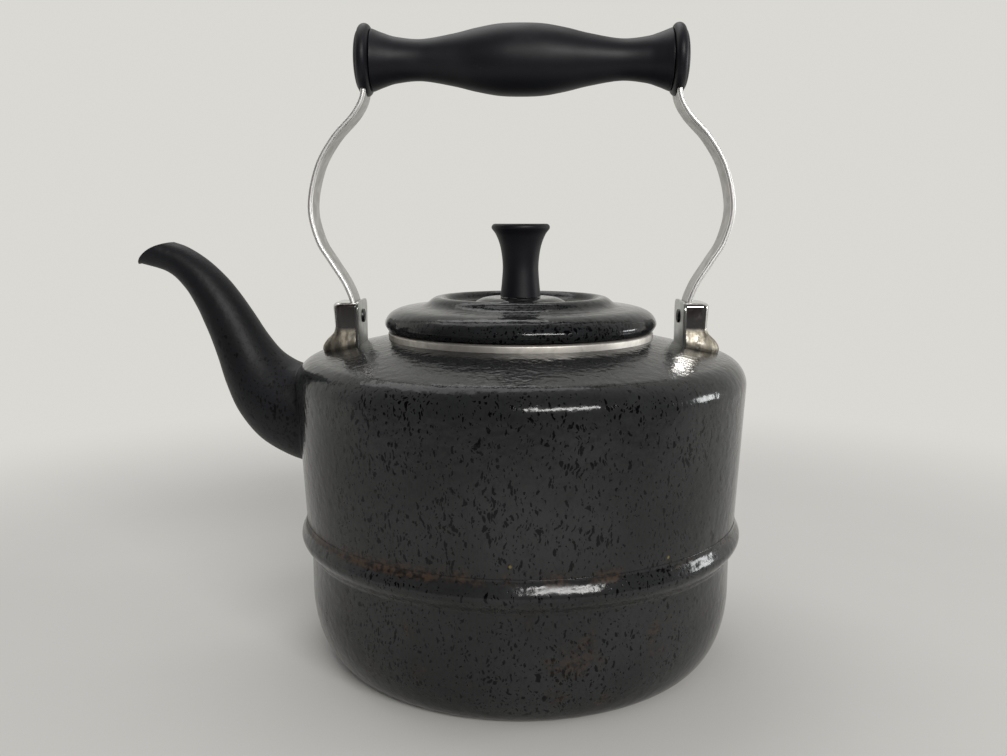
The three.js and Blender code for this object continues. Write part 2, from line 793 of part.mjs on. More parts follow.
// Placement of a part made round Z, standing square out of the shoulder above a point of the plan.
function onShoulder(x, y) {
  const radius = Math.hypot(x, y);
  const lean = shoulderLean(radius);
  const side = Math.sin(lean) / radius;
  const out = new THREE.Vector3(x * side, y * side, Math.cos(lean));
  const turn = new THREE.Quaternion().setFromUnitVectors(UP, out);
  const point = new THREE.Vector3(x, y, shoulderAt(radius));
  return new THREE.Matrix4().makeRotationFromQuaternion(turn).setPosition(point);
}

const clampPlace = alongX(plateOuterX - PLATE_THICKNESS - GAP, clampHeight);
const clampReach = PLATE_THICKNESS + GAP * 2 + STRAP_THICKNESS + CLAMP_REACH;
const rivetPlaces = [-RIVET_Y, RIVET_Y].map((y) => onShoulder(socketX + RIVET_INSET, y));
const rivetHeadZ = -SHEET - GAP;
const axisPlace = alongX(0, gripHeight);

// Grip round Z, with a bore for the rod.
function makeGrip() {
  const swell = GRIP_BELLY_RADIUS - GRIP_NECK_RADIUS;
  const half = gripShares.map(([out, up]) => at(GRIP_NECK_RADIUS + swell * up, GRIP_HALF_LENGTH * out));
  const mirrored = half.slice(1).reverse().map((p) => at(p.x, -p.y));
  const bore = ROD_RADIUS + GAP;
  return turnedRing(
    [
      at(bore, -GRIP_HALF_LENGTH),
      ...smooth([...mirrored, ...half], GRIP_STEPS),
      at(bore, GRIP_HALF_LENGTH),
    ],
    GRIP_FACETS,
  );
}

// Rod round Z with a threaded hole in each end.
function makeTieRod() {
  const end = GRIP_HALF_LENGTH;
  const hole = shankHole(end - ROD_BORE_DEPTH, end + OVERRUN);
  const otherHole = shankHole(-end - OVERRUN, ROD_BORE_DEPTH - end);
  return cut(shaft(ROD_RADIUS, -end, end, BORE_FACETS), hole, otherHole);
}

// Round cap over the grip's end, slotted for the strap and countersunk for its screw.
function makeEndCap(strapSlot) {
  const half = CAP_THICKNESS / 2;
  const rimMiddle = at(CAP_RADIUS - half, capInnerX + half);
  const profile = [
    at(SHANK_RADIUS + GAP, capInnerX),
    ...arc(rimMiddle, at(half, half), -QUARTER, QUARTER, CORNER_STEPS),
    ...arc(at(0, capFaceX - CAP_DOME), at(rimMiddle.x, CAP_DOME), 0, QUARTER, EDGE_STEPS)
      .slice(1)
      .filter((p) => p.x > HEAD_RADIUS + GAP),
    at(HEAD_RADIUS + GAP, capFaceX),
    at(SHANK_RADIUS + GAP, capFaceX - HEAD_HEIGHT - GAP),
  ];
  return cut(placed(turnedRing(profile, GRIP_FACETS), axisPlace), strapSlot);
}

// Countersunk screw round Z, with its flat head flush with the cap's face.
function makeCapScrew() {
  const tip = GRIP_HALF_LENGTH - CAP_SCREW_REACH;
  const screw = turned(
    [
      at(0, tip),
      at(SHANK_RADIUS, tip),
      at(SHANK_RADIUS, capFaceX - HEAD_HEIGHT),
      at(HEAD_RADIUS, capFaceX),
      at(0, capFaceX),
    ],
    SMALL_FACETS,
  );
  return cut(screw, slotTool(capFaceX, 1));
}

// Clamp screw round Z, with a slotted head below zero.
function makeClampScrew() {
  return cut(makeFastener(clampReach), slotTool(-HEAD_HEIGHT, -1));
}

// Materials

function enamel() {
  return new THREE.MeshStandardMaterial({ color: 0x3b3c3e, roughness: 0.18, metalness: 0 });
}

function blackPlastic() {
  return new THREE.MeshStandardMaterial({ color: 0x16171b, roughness: 0.45, metalness: 0 });
}

function polishedSteel() {
  return new THREE.MeshStandardMaterial({ color: 0xc8c6c0, roughness: 0.15, metalness: 1 });
}

function plainSteel() {
  return new THREE.MeshStandardMaterial({ color: 0x9b9a96, roughness: 0.4, metalness: 1 });
}

function brass() {
  return new THREE.MeshStandardMaterial({ color: 0xb5934f, roughness: 0.35, metalness: 1 });
}

// A named piece from a solid.
function piece(name, solid, material) {
  const mesh = new THREE.Mesh(geometryOf(solid), material);
  mesh.name = name;
  return mesh;
}

// A named piece made round Z, put in its place by a matrix.
function placedPiece(name, solid, material, matrix) {
  const mesh = piece(name, solid, material);
  mesh.applyMatrix4(matrix);
  return mesh;
}

// Everything of the handle that stands on one side of the kettle.
function makeHandleSide(name) {
  const side = new THREE.Group();
  const slot = strapSolid(GAP);
  const clampHole = placed(shankHole(-OVERRUN, clampReach + GAP), clampPlace);
  const rivetHoles = rivetPlaces.map((place) => placed(shankHole(-OVERRUN, RIVET_REACH + GAP), place));
  const capHole = placed(shankHole(0, capFaceX + OVERRUN), axisPlace);
  side.add(
    piece(name + "_socket", makeSocket(slot, [clampHole, ...rivetHoles]), polishedSteel()),
    piece(name + "_socket_plate", makeSocketPlate([clampHole]), polishedSteel()),
    piece(name + "_strap", cut(strapSolid(0), clampHole, capHole), polishedSteel()),
    piece(name + "_end_cap", makeEndCap(slot), blackPlastic()),
    placedPiece(name + "_clamp_screw", makeClampScrew(), polishedSteel(), clampPlace),
    placedPiece(name + "_cap_screw", makeCapScrew(), plainSteel(), axisPlace),
  );
  ["near", "far"].forEach((end, i) => {
    const head = new THREE.Matrix4().makeTranslation(0, 0, rivetHeadZ);
    const place = rivetPlaces[i].clone().multiply(head);
    const rivet = makeFastener(RIVET_REACH - rivetHeadZ);
    side.add(placedPiece(name + "_rivet_" + end, rivet, plainSteel(), place));
  });
  return side;
}

function makeBody() {
  const body = new THREE.Group();
  const passage = makePassage();
  const halfTurn = new THREE.Matrix4().makeRotationZ(Math.PI);
  const rivetHoles = rivetPlaces.flatMap((place) => {
    const hole = placed(shankHole(-OVERRUN, OVERRUN), place);
    return [hole, placed(hole, halfTurn)];
  });
  body.add(
    piece("base_pan", makeBasePan(), enamel()),
    piece("upper_shell", makeUpperShell([passage, ...rivetHoles]), enamel()),
    piece("mouth_ring", makeMouthRing(), polishedSteel()),
    piece("spout", makeSpout(passage), enamel()),
  );
  return body;
}

function makeLid() {
  const lid = new THREE.Group();
  const washerZ = lidSeat + LID_BOSS_RISE - SHEET - GAP - WASHER_THICKNESS;
  const screwZ = washerZ - GAP;
  const screwReach = knobBase + KNOB_SCREW_REACH - screwZ;
  const stand = (height) => new THREE.Matrix4().makeTranslation(0, 0, height);
  const screw = cut(makeFastener(screwReach), slotTool(-HEAD_HEIGHT, -1));
  lid.add(
    piece("lid_cover", makeLidCover(), enamel()),
    piece("lid_sleeve", makeLidSleeve(), enamel()),
    placedPiece("knob", makeKnob(), blackPlastic(), stand(knobBase)),
    placedPiece("knob_insert", makeKnobInsert(), brass(), stand(knobBase)),
    placedPiece("knob_washer", makeKnobWasher(), plainSteel(), stand(washerZ)),
    placedPiece("knob_screw", screw, plainSteel(), stand(screwZ)),
  );
  return lid;
}

function makeKettle() {
  const kettle = new THREE.Group();
  const rear = makeHandleSide("rear");
  const front = makeHandleSide("front");
  front.rotation.z = Math.PI;
  kettle.add(
    makeBody(),
    makeLid(),
    rear,
    front,
    placedPiece("grip", makeGrip(), blackPlastic(), axisPlace),
    placedPiece("tie_rod", makeTieRod(), plainSteel(), axisPlace),
  );
  return kettle;
}

const kettle = makeKettle();
export default kettle;
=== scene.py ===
import json
import math

import bmesh
import bpy
from mathutils import Matrix, Vector


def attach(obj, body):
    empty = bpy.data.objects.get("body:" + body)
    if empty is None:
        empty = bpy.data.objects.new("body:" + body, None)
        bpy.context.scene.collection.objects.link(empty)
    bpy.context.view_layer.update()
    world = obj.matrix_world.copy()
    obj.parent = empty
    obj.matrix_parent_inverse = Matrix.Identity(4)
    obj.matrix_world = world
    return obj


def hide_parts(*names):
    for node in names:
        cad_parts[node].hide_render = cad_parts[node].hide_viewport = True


# An enamelled steel tea kettle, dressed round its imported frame. Metres, +Z up, spout along -X.

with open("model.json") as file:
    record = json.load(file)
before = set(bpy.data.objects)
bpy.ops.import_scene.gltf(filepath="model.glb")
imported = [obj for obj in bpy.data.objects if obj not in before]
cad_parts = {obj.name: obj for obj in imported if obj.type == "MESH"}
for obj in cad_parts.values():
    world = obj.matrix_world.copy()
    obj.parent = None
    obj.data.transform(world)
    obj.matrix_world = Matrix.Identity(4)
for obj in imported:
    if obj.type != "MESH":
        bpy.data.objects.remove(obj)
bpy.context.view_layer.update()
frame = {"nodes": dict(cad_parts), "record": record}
record = frame["record"]
body_of = {node: body for body, nodes in record["behaviour"]["bodies"].items() for node in nodes}
slot_of = {part["node"]: part["material_slot"] for part in record["subparts"]}

# Sheet and fits
SHEET = 0.0015
GAP = 0.0003
SEAT_SINK = 0.0002  # how far a seated edge goes under the surface that it stands on
OVERRUN = 0.005

# Base pan
PAN_RADIUS = 0.0952
PAN_DRAFT = 0.0007
PAN_CORNER_REACH = 0.0162
PAN_CORNER_HEIGHT = 0.032
BEAD_HEIGHT = 0.0567
BEAD_DROP = 0.008
BEAD_STAND = 0.0036
BEAD_RISE = 0.0068
BEAD_LIP = 0.0003
BEAD_FULLNESS = 0.75

# Upper shell
SHELL_FOOT_RADIUS = 0.0958
SHELL_FOOT_HEIGHT = 0.0533
SHOULDER_RADIUS = 0.09938
SHOULDER_HEIGHT = 0.1234
SHOULDER_CORNER = 0.0114
SHOULDER_SLOPE = math.radians(12.8)
MOUTH_RADIUS = 0.0543

# Mouth ring
RING_SHEET = 0.001
RING_REACH = 0.0046
RING_CROWN = 0.0024
RING_SKIRT = 0.006

# Lid, as heights above its seat
LID_EDGE_RADIUS = 0.059
LID_EDGE_RISE = 0.0002
LID_WIDEST_RADIUS = 0.0608
LID_WIDEST_RISE = 0.0029
LID_BEND_RADIUS = 0.0586
LID_BEND_RISE = 0.0071
LID_DECK_RADIUS = 0.054
LID_DECK_RISE = 0.0094
LID_STEP_RADIUS = 0.0423
LID_STEP_RISE = 0.0108
LID_RIM_RADIUS = 0.0363
LID_RIM_HALF_WIDTH = 0.0021
LID_RIM_RISE = 0.0144
LID_CHANNEL_RISE = 0.0106
LID_CHANNEL_OUTER = 0.0315
LID_CHANNEL_INNER = 0.0225
LID_BOSS_RADIUS = 0.017
LID_BOSS_RISE = 0.014
LID_BORE = 0.0023
LID_FILLET = 0.0032
SLEEVE_FIT = 0.0006
SLEEVE_SHEET = 0.001
SLEEVE_DEPTH = 0.011
SLEEVE_RIM = 0.004
SLEEVE_ROUND = 0.0006

# Knob
KNOB_RADIUS = 0.0129
KNOB_WAIST_RADIUS = 0.00795
KNOB_HEIGHT = 0.032
KNOB_EDGE = 0.0016
KNOB_DISH = 0.0005
KNOB_DISH_MARGIN = 0.0024
KNOB_EDGE_START = -20

# Spout
SPOUT_START = 0.0974
SPOUT_REACH = 0.0734
SPOUT_LOW = 0.0862
SPOUT_RISE = 0.098
SPOUT_HALF_WIDTH = 0.0205
SPOUT_BOW = 0.0017
SPOUT_FILLET = 0.0013

# Sockets
SOCKET_RISE = 0.0188
SOCKET_DEPTH = 0.0096
SOCKET_HALF_WIDTH = 0.0107
SOCKET_CORNER = 0.003
SOCKET_CROWN_X = 0.0015
SOCKET_CROWN_Y = 0.0021
SOCKET_LEAN = 0.0007
FLARE_RISE = 0.0086
FOOT_REACH_X = 0.0065
FOOT_REACH_Y = 0.0016
FOOT_UNDERCUT = 0.0005
FOOT_EDGE = 0.0012
SOCKET_BEVEL = 0.0003
PLATE_THICKNESS = 0.0012
PLATE_MARGIN = 0.0006
PLATE_HALF_WIDTH = 0.0129
PLATE_CORNER = 0.004
PLATE_BEVEL = 0.00025
CLAMP_RISE = 0.0124
CLAMP_HEAD_RADIUS = 0.003
CLAMP_HEAD_HEIGHT = 0.0012

# Straps
STRAP_THICKNESS = 0.0022
STRAP_HALF_WIDTH = 0.0082
STRAP_BEVEL = 0.00095
STRAP_FOOT_RISE = 0.005
STRAP_BULGE = 0.0182
STRAP_BELLY_RISE = 0.0602

# Grip and its caps
GRIP_RISE = 0.1226
GRIP_HALF_LENGTH = 0.0642
GRIP_BELLY_RADIUS = 0.0152
GRIP_NECK_RADIUS = 0.0087
GRIP_BORE = 0.0043
GRIP_END_ROUND = 0.0006
CAP_RADIUS = 0.01525
CAP_THICKNESS = 0.0052
CAP_WALL = 0.0015
CAP_DOME = 0.002
HEAD_RADIUS = 0.0034
HEAD_HEIGHT = 0.0018
HEAD_ROUND = 0.0005
SHANK_RADIUS = 0.002
SCREW_LENGTH = 0.008
SLOT_WIDTH = 0.0011
SLOT_DEPTH = 0.0008

# Facets and steps
BODY_FACETS = 256
LID_FACETS = 224
SPOUT_FACETS = 96
GRIP_FACETS = 128
SMALL_FACETS = 48
FLOOR_FACETS = 96
BEVEL_STEPS = 3
ROUND_STEPS = 6
CROWN_STEPS = 8
EDGE_STEPS = 12
CURVE_STEPS = 24
PAN_INSIDE_STEPS = 18
PAN_CORNER_STEPS = 30
KNOB_STEPS = 36
GRIP_STEPS = 120
STRAP_STEPS = 120
SPOUT_STEPS = 150
SPOUT_STRIDE = 3  # the inside takes every third step
SPOUT_CROWDING = 1.6  # above one, the steps are closer together at the root
SEARCH_ROUNDS = 30
ON_AXIS = 1e-9  # the largest radius that counts as none
SHARP_ANGLE = math.radians(32)
HOOD_SHARP_ANGLE = math.radians(50)

# Enamel
ENAMEL_GREY = (0.0208, 0.0214, 0.022)
SPOUT_GREY = (0.0095, 0.0101, 0.012)
LID_GREY = (0.015, 0.0157, 0.0165)
FLECK_COLOUR = (0.0012, 0.0012, 0.0018)
STREAK_COLOUR = (0.008, 0.008, 0.009)
STREAK_STRENGTH = 0.3
ENAMEL_SPECULAR = 0.24
ENAMEL_GLOSS_SPAN = (-0.05, 0.08)
ENAMEL_RELIEF = 0.00035
FLECK_REACH = 0.62
FLECK_EDGE = 0.06
FLECK_DENT = -0.02
FLECK_LOSS = 0.5  # how much scarcer flecks get where they fade
CROWD_STRENGTH = 0.45
# Size of a fleck's cell, how much longer it is, how much scarcer, and where its lattice starts
FLECK_LAYERS = [
    (0.0009, 1.0, 0.03, (4, 9, 2)),
    (0.0014, 1.2, 0.0, (11, 2, 5)),
    (0.0024, 1.8, 0.1, (3, 7, 1)),
]
# Size and detail of each noise that bends the flecks, and how far it pushes them
FLECK_DRIFTS = [(0.0011, 3.0, (0.0011, 0.0011, 0.0014)), (0.007, 1.0, (0.006, 0.006, 0.003))]
# Size and share of each wave of the enamel's skin
ENAMEL_WAVES = [(0.009, 0.5), (0.0034, 0.5), (0.0014, 0.07)]
WAVE_DETAIL = 1.5
# Where the enamel has lost a tiny chip
ENAMEL_CHIPS = [(-0.0035, -0.0965, 0.0687), (0.0565, -0.078, 0.0662)]
CHIP_RADIUS = 0.0008
CHIP_COLOUR = (0.13, 0.1, 0.035)

# Grime
GRIME_HEIGHT = 0.0085
GRIME_FADE = 0.0018
GRIME_SLANT = -1.3
GRIME_STEP = (0.4, 0.62)
GRIME_COVER = 0.8
GRIME_ROUGHNESS = 0.3
GRIME_DARK = (0.007, 0.005, 0.004)
GRIME_BROWN = (0.05, 0.029, 0.016)
STAIN_STRENGTH = 0.6

# Plastic
PLASTIC_BLACK = (0.0052, 0.0055, 0.0085)
PLASTIC_RUBBED = (0.0095, 0.01, 0.013)
PLASTIC_GLOSS = (0.44, 0.54)
PLASTIC_SPECULAR = 0.3
PLASTIC_RELIEF = 0.00012
GRAIN_ROUGHNESS = 0.06
DUST_COLOUR = (0.05, 0.05, 0.05)
DUST_STRENGTH = 0.25

# Steel and brass
STEEL = (0.66, 0.65, 0.62)
STRAP_STEEL = (0.52, 0.51, 0.49)
PLATE_STEEL = (0.4, 0.405, 0.385)
# Near-black steel of the clamp screws: painted shade for the dark spot on the socket plate
PAINTED_SHADE_STEEL = (0.09, 0.09, 0.092)
RING_STEEL = (0.9, 0.86, 0.8)
# Paler steel on a strap's edges: partly rubbed steel, partly a painted highlight
RUBBED_AND_HIGHLIGHT_STEEL = (0.95, 0.94, 0.92)
PLAIN_STEEL = (0.42, 0.41, 0.39)
BRASS = (0.62, 0.46, 0.2)
WEAR_STEP = (0.35, 0.7)
STEEL_GLOSS_SPAN = (-0.03, 0.1)
STEEL_RELIEF = 0.00002
SCRATCH_ROUGHNESS = 0.06
TARNISH_DARK = (0.17, 0.148, 0.11)
TARNISH_LIGHT = (0.45, 0.4, 0.31)
TARNISH_STEP = (0.6, 0.85)
TARNISH_SPREAD = 0.3
TARNISH_COVER = 0.9
TARNISH_ROUGHNESS = 0.38
TONE_STRETCH = (1, 1, 0.4)

# Noises: size and detail, then a distortion
FLECK_CROWDS = (0.024, 3.0)
GLOSS_CLOUDS = (0.02, 4.0)
DECK_RIPPLE = (0.0026, 3.0)
GRIME_CLOUDS = (0.013, 5.0)
PLASTIC_GRAIN = (0.0006, 3.0)
PLASTIC_WAVES = (0.012, 2.0)
STEEL_WEAR = (0.006, 5.0, 0.6)
STEEL_SCRATCHES = (0.0005, 3.0)
TARNISH_SPOTS = (0.0045, 5.0, 0.4)
FLOOR_TINT = (0.05, 5.0)

# Patches: size and detail, the noise where they start and are full, then a distortion
ENAMEL_CLOUDS = (0.05, 5.0, 0.32, 0.68)
ENAMEL_STREAKS = (0.0013, 4.0, 0.46, 0.7, 0.5)
GRIME_CLUMPS = (0.002, 4.0, 0.42, 0.56)
GRIME_STAINS = (0.017, 6.0, 0.56, 0.72)
PLASTIC_WEAR = (0.022, 4.0, 0.48, 0.75)
DUST_SPECKS = (0.0011, 3.0, 0.66, 0.8)
FOOT_STAINS = (0.0028, 5.0, 0.1, 0.5, 0.5)
TARNISH_TONES = (0.0022, 4.0, 0.4, 0.62)
ROOM_COLUMNS = (0.3, 3.0, 0.44, 0.58)

# Floor and surroundings
FLOOR_RADIUS = 6.0
FLOOR_FADE_START = 0.28
FLOOR_FADE_STOP = 0.62
FLOOR_COLOUR = (0.6, 0.59, 0.565)
FLOOR_ROUGHNESS = 0.9
FLOOR_SPECULAR = 0.1
BACKDROP = (0.7, 0.69, 0.655)
FILL = (0.42, 0.42, 0.42)
ROOM_DARK = (0.055, 0.05, 0.053)
ROOM_SHADE = (0.012, 0.006, 0.007)
ROOM_FADE = 0.35
COLUMN_STRETCH = (1, 1, 0.15)

# Camera
CAMERA_PLACE = (0, -0.43, 0.1916)
CAMERA_TILT = math.radians(90 - 9.101)
CAMERA_TURN = math.radians(1.013)
CLIP_START = 0.01
FOCAL_PIXELS = 961.3
IMAGE_WIDTH = 1007

# Lamps: name, degrees round from the camera's side, degrees up, distance, size, power and colour
LAMPS = [
    ("window", 21, 27, 2.0, (1.1, 0.22), 25, (1, 0.99, 0.97)),
    ("side_window", 99, 6, 1.8, (0.46, 0.3), 6.5, (0.97, 0.99, 1)),
    ("overhead", -150, 65, 1.8, (1.6, 1.2), 10, (1, 1, 1)),
]
LAMP_TARGET = Vector((0, 0, 0.12))

# Shares
upper_edge_shares = [
    (-0.148, 0.413), (-0.065, 0.421), (0.002, 0.435), (0.071, 0.457),
    (0.152, 0.501), (0.233, 0.579), (0.312, 0.674), (0.393, 0.765),
    (0.472, 0.839), (0.579, 0.915), (0.694, 0.971), (0.789, 0.997),
]
lower_edge_shares = [
    (-0.057, -0.033), (0.121, 0.018), (0.286, 0.097), (0.413, 0.217),
    (0.486, 0.346), (0.531, 0.463), (0.572, 0.558), (0.608, 0.628),
    (0.648, 0.699), (0.718, 0.789), (0.82, 0.86), (1, 0.902),
]
half_width_shares = [1, 0.99, 0.93, 0.81, 0.69, 0.59, 0.53, 0.49, 0.45, 0.4, 0.36, 0.36]
strap_lower_shares = [(0, 0), (0, 0.2), (0.19, 0.385), (0.54, 0.573), (0.84, 0.744), (1, 1)]
strap_upper_shares = [(0.857, 0.268), (0.56, 0.469), (0.184, 0.63), (0.013, 0.756), (0, 0.9), (0, 1)]
flare_shares = [(1, 1), (1, 0.91), (0.93, 0.8), (0.68, 0.62), (0.36, 0.46), (0.12, 0.32), (0.03, 0.17)]
knob_shares = [(0, 0.21), (0.2, 0.08), (0.4, 0), (0.57, 0.08), (0.72, 0.27), (0.85, 0.6)]
grip_shares = [
    (0, 1), (0.15, 0.942), (0.3, 0.686), (0.452, 0.336),
    (0.664, 0), (0.83, 0.131), (0.92, 0.38), (1, 0.686),
]
foot_ring_shares = [0.3, 0.55, 0.8, 1]
largest_round_share = 0.48
passage_share = 1 / 3
longest_root_share = 0.5
bow_start_share = 0.75
mouth_to_wall_share = 0.298
cloud_shares = [0.78, 1.2]
ripple_share = 0.55
grain_share = 0.12
worn_share = 0.78
scratch_share = 0.08
foot_stain_share = 0.72
# Where a strap's paler edge starts and is full, in bevels in from its side: partly rubbed steel, partly a
# painted highlight
rubbed_and_highlight_edge_shares = [1.3, 0.7]
paler_share = 1.03


# Curves and profiles


def arc(middle, semi, start, stop, steps):
    """Points of an elliptical arc in a profile, between two angles in degrees."""
    points = []
    for i in range(steps + 1):
        angle = math.radians(start + (stop - start) * i / steps)
        points.append((middle[0] + semi[0] * math.cos(angle), middle[1] + semi[1] * math.sin(angle)))
    return points


def rounded(points, radius):
    """An open polyline whose inner corners are eased by curves that start a radius away."""
    eased = [points[0]]
    for before, corner, after in zip(points, points[1:], points[2:]):
        corner = Vector(corner)
        back = Vector(before) - corner
        ahead = Vector(after) - corner
        start = corner + back * min(radius / back.length, largest_round_share)
        stop = corner + ahead * min(radius / ahead.length, largest_round_share)
        for i in range(ROUND_STEPS + 1):
            share = i / ROUND_STEPS
            point = start.lerp(corner, share).lerp(corner.lerp(stop, share), share)
            eased.append((point.x, point.y))
    eased.append(points[-1])
    return eased


def curve_point(points, share):
    """A point of the smooth curve through points, at a share of their count."""
    place = share * (len(points) - 1)
    k = min(int(place), len(points) - 2)
    t = place - k
    b = points[k]
    c = points[k + 1]
    a = points[k - 1] if k > 0 else b * 2 - c
    d = points[k + 2] if k + 2 < len(points) else c * 2 - b
    return (b * 2 + (c - a) * t + (a * 2 - b * 5 + c * 4 - d) * t**2 + (b * 3 - a - c * 3 + d) * t**3) / 2


def smooth(points, steps):
    """A smooth line through profile points."""
    vectors = [Vector(point) for point in points]
    return [tuple(curve_point(vectors, i / steps)) for i in range(steps + 1)]


def pushed(points, distance):
    """A profile moved to the left of its own direction."""
    moved = []
    for i, point in enumerate(points):
        before = Vector(points[max(i - 1, 0)])
        after = Vector(points[min(i + 1, len(points) - 1)])
        along = (after - before).normalized()
        moved.append((point[0] - along.y * distance, point[1] + along.x * distance))
    return moved


# Meshes


def mesh_of(name, points, faces):
    """A closed mesh with its faces pointing out."""
    mesh = bpy.data.meshes.new(name)
    mesh.from_pydata([tuple(point) for point in points], [], faces)
    tidy = bmesh.new()
    tidy.from_mesh(mesh)
    bmesh.ops.recalc_face_normals(tidy, faces=tidy.faces)
    tidy.to_mesh(mesh)
    tidy.free()
    return mesh


def turns(count):
    """The angles of points round a circle."""
    return [2 * math.pi * i / count for i in range(count)]


def circle(radius, height, facets):
    """Points of a level circle round Z."""
    return [(radius * math.cos(turn), radius * math.sin(turn), height) for turn in turns(facets)]


def faces_between(rows):
    """Faces that join rows of point numbers, of which a row on the axis repeats one."""
    faces = []
    for low, high in zip(rows, rows[1:]):
        for i in range(len(low)):
            following = (i + 1) % len(low)
            face = list(dict.fromkeys([low[i], low[following], high[following], high[i]]))
            if len(face) > 2:
                faces.append(face)
    return faces


def turned(name, profile, facets, ring=False):
    """A profile of (radius, height) points turned round Z. A ring closes on itself off the axis."""
    points = []
    rows = []
    for radius, height in profile:
        if radius < ON_AXIS:
            rows.append([len(points)] * facets)
            points.append((0, 0, height))
            continue
        rows.append(list(range(len(points), len(points) + facets)))
        points += circle(radius, height, facets)
    if ring:
        rows.append(rows[0])
    return mesh_of(name, points, faces_between(rows))


def skinned(name, rings, ring=False):
    """A skin through rings of points, closed by flat ends or, as a ring, onto itself."""
    count = len(rings[0])
    points = [point for ring_points in rings for point in ring_points]
    rows = [list(range(k * count, (k + 1) * count)) for k in range(len(rings))]
    if ring:
        return mesh_of(name, points, faces_between(rows + rows[:1]))
    return mesh_of(name, points, faces_between(rows) + [rows[0], rows[-1]])


def block(name, low, high):
    """A box between two corners."""
    rings = []
    for z in (low[2], high[2]):
        rings.append([(low[0], low[1], z), (high[0], low[1], z), (high[0], high[1], z), (low[0], high[1], z)])
    return skinned(name, rings)


def placed(mesh, matrix):
    """The mesh moved by a matrix."""
    mesh.transform(matrix)
    return mesh


def held(data):
    """An object of the scene that holds a mesh, a camera or a lamp."""
    obj = bpy.data.objects.new(data.name, data)
    bpy.context.scene.collection.objects.link(obj)
    return obj


def worked(obj):
    """The mesh of an object with its modifiers applied. The object goes."""
    graph = bpy.context.evaluated_depsgraph_get()
    mesh = bpy.data.meshes.new_from_object(obj.evaluated_get(graph))
    bpy.data.objects.remove(obj)
    return mesh


def carved(mesh, tool):
    """The mesh with a tool cut away."""
    obj = held(mesh)
    helper = held(tool)
    cut = obj.modifiers.new("cut", "BOOLEAN")
    cut.operation = "DIFFERENCE"
    cut.solver = "EXACT"
    cut.object = helper
    mesh = worked(obj)
    bpy.data.objects.remove(helper)
    return mesh


def bevelled(mesh, width, angle=SHARP_ANGLE):
    """The mesh with its sharp edges eased."""
    obj = held(mesh)
    edge = obj.modifiers.new("edge", "BEVEL")
    edge.width = width
    edge.segments = BEVEL_STEPS
    edge.limit_method = "ANGLE"
    edge.angle_limit = angle
    edge.use_clamp_overlap = True
    return worked(obj)


def dress(node, mesh, material):
    """The finished piece that stands for a node of the frame."""
    obj = held(mesh)
    obj.name = node + "_finished"
    mesh.shade_smooth()
    mesh.set_sharp_from_angle(angle=SHARP_ANGLE)
    mesh.materials.clear()
    mesh.materials.append(material)
    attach(obj, body_of[node])
    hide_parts(node)


# Body

wall_slope = (SHOULDER_RADIUS - SHELL_FOOT_RADIUS) / (SHOULDER_HEIGHT - SHELL_FOOT_HEIGHT)
corner_x = SHOULDER_RADIUS - SHOULDER_CORNER
bend_x = corner_x + SHOULDER_CORNER * math.sin(SHOULDER_SLOPE)
bend_z = SHOULDER_HEIGHT + SHOULDER_CORNER * math.cos(SHOULDER_SLOPE)


def shoulder_at(radius):
    """Height of the shoulder's outside at a distance from the axis."""
    if radius < bend_x:
        return bend_z + (bend_x - radius) * math.tan(SHOULDER_SLOPE)
    across = min(radius - corner_x, SHOULDER_CORNER)
    return SHOULDER_HEIGHT + math.sqrt(SHOULDER_CORNER**2 - across**2)


ring_seat = shoulder_at(MOUTH_RADIUS)
ring_top = ring_seat + RING_CROWN
ring_outer = MOUTH_RADIUS + RING_REACH
ring_skirt = MOUTH_RADIUS - GAP
ring_bore = ring_skirt - RING_SHEET
lid_seat = ring_top + GAP
knob_base = lid_seat + LID_BOSS_RISE + GAP


def wall_offset(point):
    """Distance of a point outside the shell, and the direction that leads away from it there."""
    radius = math.hypot(point.x, point.y)
    out = Vector((point.x, point.y, 0)) / radius
    if point.z > SHOULDER_HEIGHT:
        across = radius - corner_x
        up = point.z - SHOULDER_HEIGHT
        length = math.hypot(across, up)
        return length - SHOULDER_CORNER, (out * across + Vector((0, 0, up))) / length
    wall = SHOULDER_RADIUS - (SHOULDER_HEIGHT - point.z) * wall_slope
    return radius - wall, out


def shell_outline(out):
    """Outline of the shell from its foot to its mouth, pushed outwards."""
    corner = (corner_x, SHOULDER_HEIGHT)
    radius = SHOULDER_CORNER + out
    start = -math.degrees(math.atan(wall_slope))
    stop = 90 - math.degrees(SHOULDER_SLOPE)
    foot = Vector((SHELL_FOOT_RADIUS + out, SHELL_FOOT_HEIGHT))
    curve = arc(corner, (radius, radius), start, stop, CURVE_STEPS)
    mouth = Vector((MOUTH_RADIUS, ring_seat + out / math.cos(SHOULDER_SLOPE)))
    wall = [tuple(foot.lerp(Vector(curve[0]), i / ROUND_STEPS)) for i in range(ROUND_STEPS)]
    deck = [tuple(Vector(curve[-1]).lerp(mouth, i / ROUND_STEPS)) for i in range(1, ROUND_STEPS + 1)]
    return wall + curve + deck


def make_shell():
    """Wall, shoulder and mouth, open to the spout."""
    profile = shell_outline(0) + shell_outline(-SHEET)[::-1]
    shell = turned("shell", profile, BODY_FACETS, ring=True)
    rings = [spout_ring(passage_share * i / ROUND_STEPS, SHEET) for i in range(ROUND_STEPS + 1)]
    return carved(shell, skinned("passage", rings))


